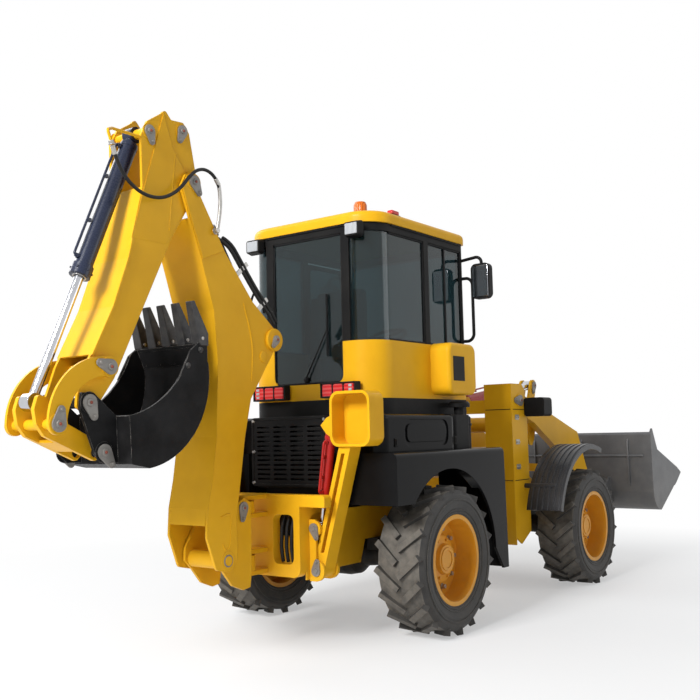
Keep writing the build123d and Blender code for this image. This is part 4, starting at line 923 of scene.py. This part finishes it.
def dress_backhoe():
    peak = Piece("dipper_doublers", "dipper", "paint_yellow")
    tip = Piece("boom_doublers", "boom", "paint_yellow")
    bead = Piece("boom_beads", "boom", "paint_yellow")
    bosses = Piece("boom_ear_bosses", "boom", "paint_yellow")
    guide = Piece("boom_line_guides", "boom", "black_metal")
    for s in SIDES:
        peak.doubler(DIPPER_PEAK, DIPPER_FACE, s)
        tip.doubler(BOOM_TIP, BOOM_FACE, s)
        bead.tube([(x, s * 0.1805, z) for x, z in FOOT_BEAD], BEAD_R, 10)
        bead.tube([(x, s * 0.1800, z) for x, z in BOOM_RIDGE], BEAD_R, 10)
        peak.tube([(x, s * 0.1540, z) for x, z in DIPPER_SEAM], SEAM_R, 10)
        bosses.lathe(EAR_BOSS, (-1.010, s * BOOM_FACE, 2.080), (0, s, 0), 36)
        bosses.lathe(ROD_BOSS, (-1.110, s * BOOM_FACE, 1.960), (0, s, 0), 28)
        guide.tube([(x, s * LINE_Y, z) for x, z in LINE_GUIDE], GUIDE_R, 10)
    peak.done(0.002)
    tip.done(0.002)
    bead.done()
    bosses.done(0.001)
    guide.done()
    lines = Piece("boom_lines", "boom", "hose_rubber")
    clips = Piece("boom_line_clips", "boom", "rod_chrome", "zinc")
    for s in SIDES:
        for lift in (0.0, 0.030):
            lines.tube([(x + lift * 0.76, s * LINE_Y, z + lift * 0.65) for x, z in BOOM_LINE], LINE_R)
        for x, z in ((-1.345, 2.520), (-1.150, 2.300)):
            clips.plate([(x + dx, z + dz) for dx, dz in LINE_CLIP], s * 0.162, s * 0.174)
    lines.done()
    clips.done(0.001)


# Front body: tower latches, seams and head lamp lenses
LATCH_X, LATCH_HEIGHTS = 1.78, (1.10, 1.32, 1.54)
SEAM_HEIGHTS = (0.98, 1.61)


def dress_front():
    plates = Piece("tower_latches", "front_body", "rod_chrome", "zinc")
    seams = Piece("tower_seams", "front_body", "trim_black")
    lens = Piece("head_lamp_lenses", "front_body", "cab_glass", "lens_clear")
    for s in SIDES:
        for z in LATCH_HEIGHTS:
            plates.box((LATCH_X, s * 0.6025, z), (0.07, 0.006, 0.045))
            for dx in (-0.022, 0.022):
                plates.nut((LATCH_X + dx, s * 0.6055, z), (0, s, 0), 0.014, 0.008)
        for z in SEAM_HEIGHTS:
            seams.box((1.845, s * 0.6005, z), (0.27, 0.003, 0.006))
            seams.box((1.6845, s * 0.465, z), (0.003, 0.25, 0.006))
        lens.box((2.098, s * 0.700, 1.63), (0.008, 0.158, 0.128))
    plates.done(0.0015)
    seams.done()
    lens.done(0.003)


# Loader bucket and hoe bucket: edge bolts, back ribs, tooth caps with their pins, and lip bolts
EDGE_BACK, EDGE_FRONT = Vector((4.759, 0, 0.812)), Vector((4.930, 0, 0.905))
EDGE_BOLTS, EDGE_BOLT_STEP = 9, 0.22
BUCKET_RIB = [(3.983, 0.80), (3.976, 1.30), (3.955, 1.26), (3.962, 0.84)]
RIB_HALF = 0.008
TEETH, TOOTH_STEP = 5, 0.1325
TOOTH_SIDE = [
    # forward, up, half width
    (-1.743, 1.985, 0.037), (-1.742, 2.062, 0.036), (-1.8485, 2.258, 0.027), (-1.8745, 2.252, 0.027),
    (-1.8165, 2.010, 0.036), (-1.806, 1.985, 0.037),
]
TOOTH_PIN = [(0.011, 0), (0.011, 0.004), (0.007, 0.006)]


def dress_buckets():
    edge = Piece("cutting_edge_bolts", "loader_bucket", "rod_chrome", "zinc")
    lip = (EDGE_FRONT - EDGE_BACK).normalized()
    above = Vector((-lip.z, 0, lip.x))
    for i in range(EDGE_BOLTS):
        edge.nut((4.80, -0.88 + i * EDGE_BOLT_STEP, 0.867), above, 0.026, 0.010)
    edge.done()
    ribs = Piece("bucket_ribs", "loader_bucket", "bucket_grey")
    for y in (-0.80, -0.28, 0.28, 0.80):
        ribs.plate(BUCKET_RIB, y - RIB_HALF, y + RIB_HALF)
    ribs.rod((3.977, -0.96, 1.122), (3.977, 0.96, 1.122), 0.014)
    ribs.done(0.002)
    pins = Piece("tooth_pins", "hoe_bucket", "rod_chrome", "zinc")
    tips = Piece("tooth_caps", "hoe_bucket", "bucket_grey", "tooth_steel")
    for i in range(TEETH):
        y = -0.265 + i * TOOTH_STEP
        for s in SIDES:
            pins.lathe(TOOTH_PIN, (-1.790, y + s * 0.033, 2.030), (0, s, 0), 14)
        tips.tooth(TOOTH_SIDE, y)
    pins.done()
    tips.done(0.004)
    lip_bolts = Piece("hoe_lip_wear", "hoe_bucket", "bucket_grey", "tooth_steel")
    for s in SIDES:
        for x, z in ((-1.800, 1.960), (-1.905, 1.860)):
            lip_bolts.nut((x, s * 0.290, z), (0, s, 0), 0.030, 0.012)
    lip_bolts.done()


# Floor, lamps and sky
FLOOR_R = 60.0
FLOOR_TINTS = ((0.88, 0.88, 0.88), (0.84, 0.84, 0.845))
SHADE_NEAR, SHADE_FAR, SHADE_GLOW = 1.5, 6.5, 0.40
SKY_TINT, SKY_STRENGTH = (0.90, 0.95, 1.0, 1.0), 0.34
LAMP_AIM = Vector((0, 0, 1.3))
LAMPS = [
    # name, place, size, watts
    ("key", (-14.0, -0.4, 9.0), 4.5, 2450.0),
    ("side", (3.0, -7.5, 4.5), 4.0, 80.0),
    ("back", (-2.0, 7.5, 7.0), 5.0, 280.0),
]


def seen_rays(tree):
    """1 for the rays that show the background: straight, mirrored and through glass."""
    path = tree.nodes.new("ShaderNodeLightPath")
    seen = path.outputs["Is Camera Ray"]
    for ray in ("Is Glossy Ray", "Is Transmission Ray"):
        both = tree.nodes.new("ShaderNodeMath")
        both.operation = "MAXIMUM"
        tree.links.new(seen, both.inputs[0])
        tree.links.new(path.outputs[ray], both.inputs[1])
        seen = both.outputs["Value"]
    return seen


def make_floor():
    mesh = bpy.data.meshes.new("floor")
    work = bmesh.new()
    bmesh.ops.create_circle(work, cap_ends=True, segments=64, radius=FLOOR_R)
    work.to_mesh(mesh)
    work.free()
    floor = bpy.data.objects.new("floor", mesh)
    bpy.context.collection.objects.link(floor)
    n = Nodes("floor")
    s = n.shader
    n.join(n.mix(n.noise(0.8), *FLOOR_TINTS), s.inputs["Base Color"])
    s.inputs["Roughness"].default_value = 0.9
    far = n.add("ShaderNodeVectorMath", operation="LENGTH")
    n.join(n.place, far.inputs[0])
    fade = n.spread(far.outputs["Value"], SHADE_NEAR, SHADE_FAR, SHADE_GLOW, 1.0)
    fade = n.maths("MULTIPLY", fade, seen_rays(n.tree))
    glow = n.add("ShaderNodeEmission")
    glow.inputs["Color"].default_value = WHITE
    both = n.add("ShaderNodeMixShader")
    n.join(fade, both.inputs["Fac"])
    n.join(s.outputs["BSDF"], both.inputs[1])
    n.join(glow.outputs["Emission"], both.inputs[2])
    n.join(both.outputs["Shader"], n.tree.nodes["Material Output"].inputs["Surface"])
    mesh.materials.append(n.material)


def make_sky():
    world = bpy.data.worlds.new("sky")
    bpy.context.scene.world = world
    world.use_nodes = True
    tree = world.node_tree
    sky = tree.nodes["Background"]
    sky.inputs["Color"].default_value = SKY_TINT
    sky.inputs["Strength"].default_value = SKY_STRENGTH
    plain = tree.nodes.new("ShaderNodeBackground")
    plain.inputs["Color"].default_value = WHITE
    plain.inputs["Strength"].default_value = 1.0
    blend = tree.nodes.new("ShaderNodeMixShader")
    tree.links.new(seen_rays(tree), blend.inputs["Fac"])
    tree.links.new(sky.outputs["Background"], blend.inputs[1])
    tree.links.new(plain.outputs["Background"], blend.inputs[2])
    tree.links.new(blend.outputs["Shader"], tree.nodes["World Output"].inputs["Surface"])


def make_lamps():
    for name, place, size, watts in LAMPS:
        data = bpy.data.lights.new(name, "AREA")
        data.size = size
        data.energy = watts
        lamp = bpy.data.objects.new(name, data)
        lamp.location = place
        lamp.rotation_mode = "QUATERNION"
        lamp.rotation_quaternion = (LAMP_AIM - Vector(place)).to_track_quat("-Z", "Y")
        bpy.context.collection.objects.link(lamp)


paint_nodes()
place_camera()
make_hose()
dress_wheels()
dress_pins()
dress_cylinders()
dress_windows()
dress_lamps()
dress_fittings()
dress_seat()
dress_body()
dress_backhoe()
dress_front()
dress_buckets()
make_floor()
make_sky()
make_lamps()
bpy.context.scene.view_settings.view_transform = "Standard"
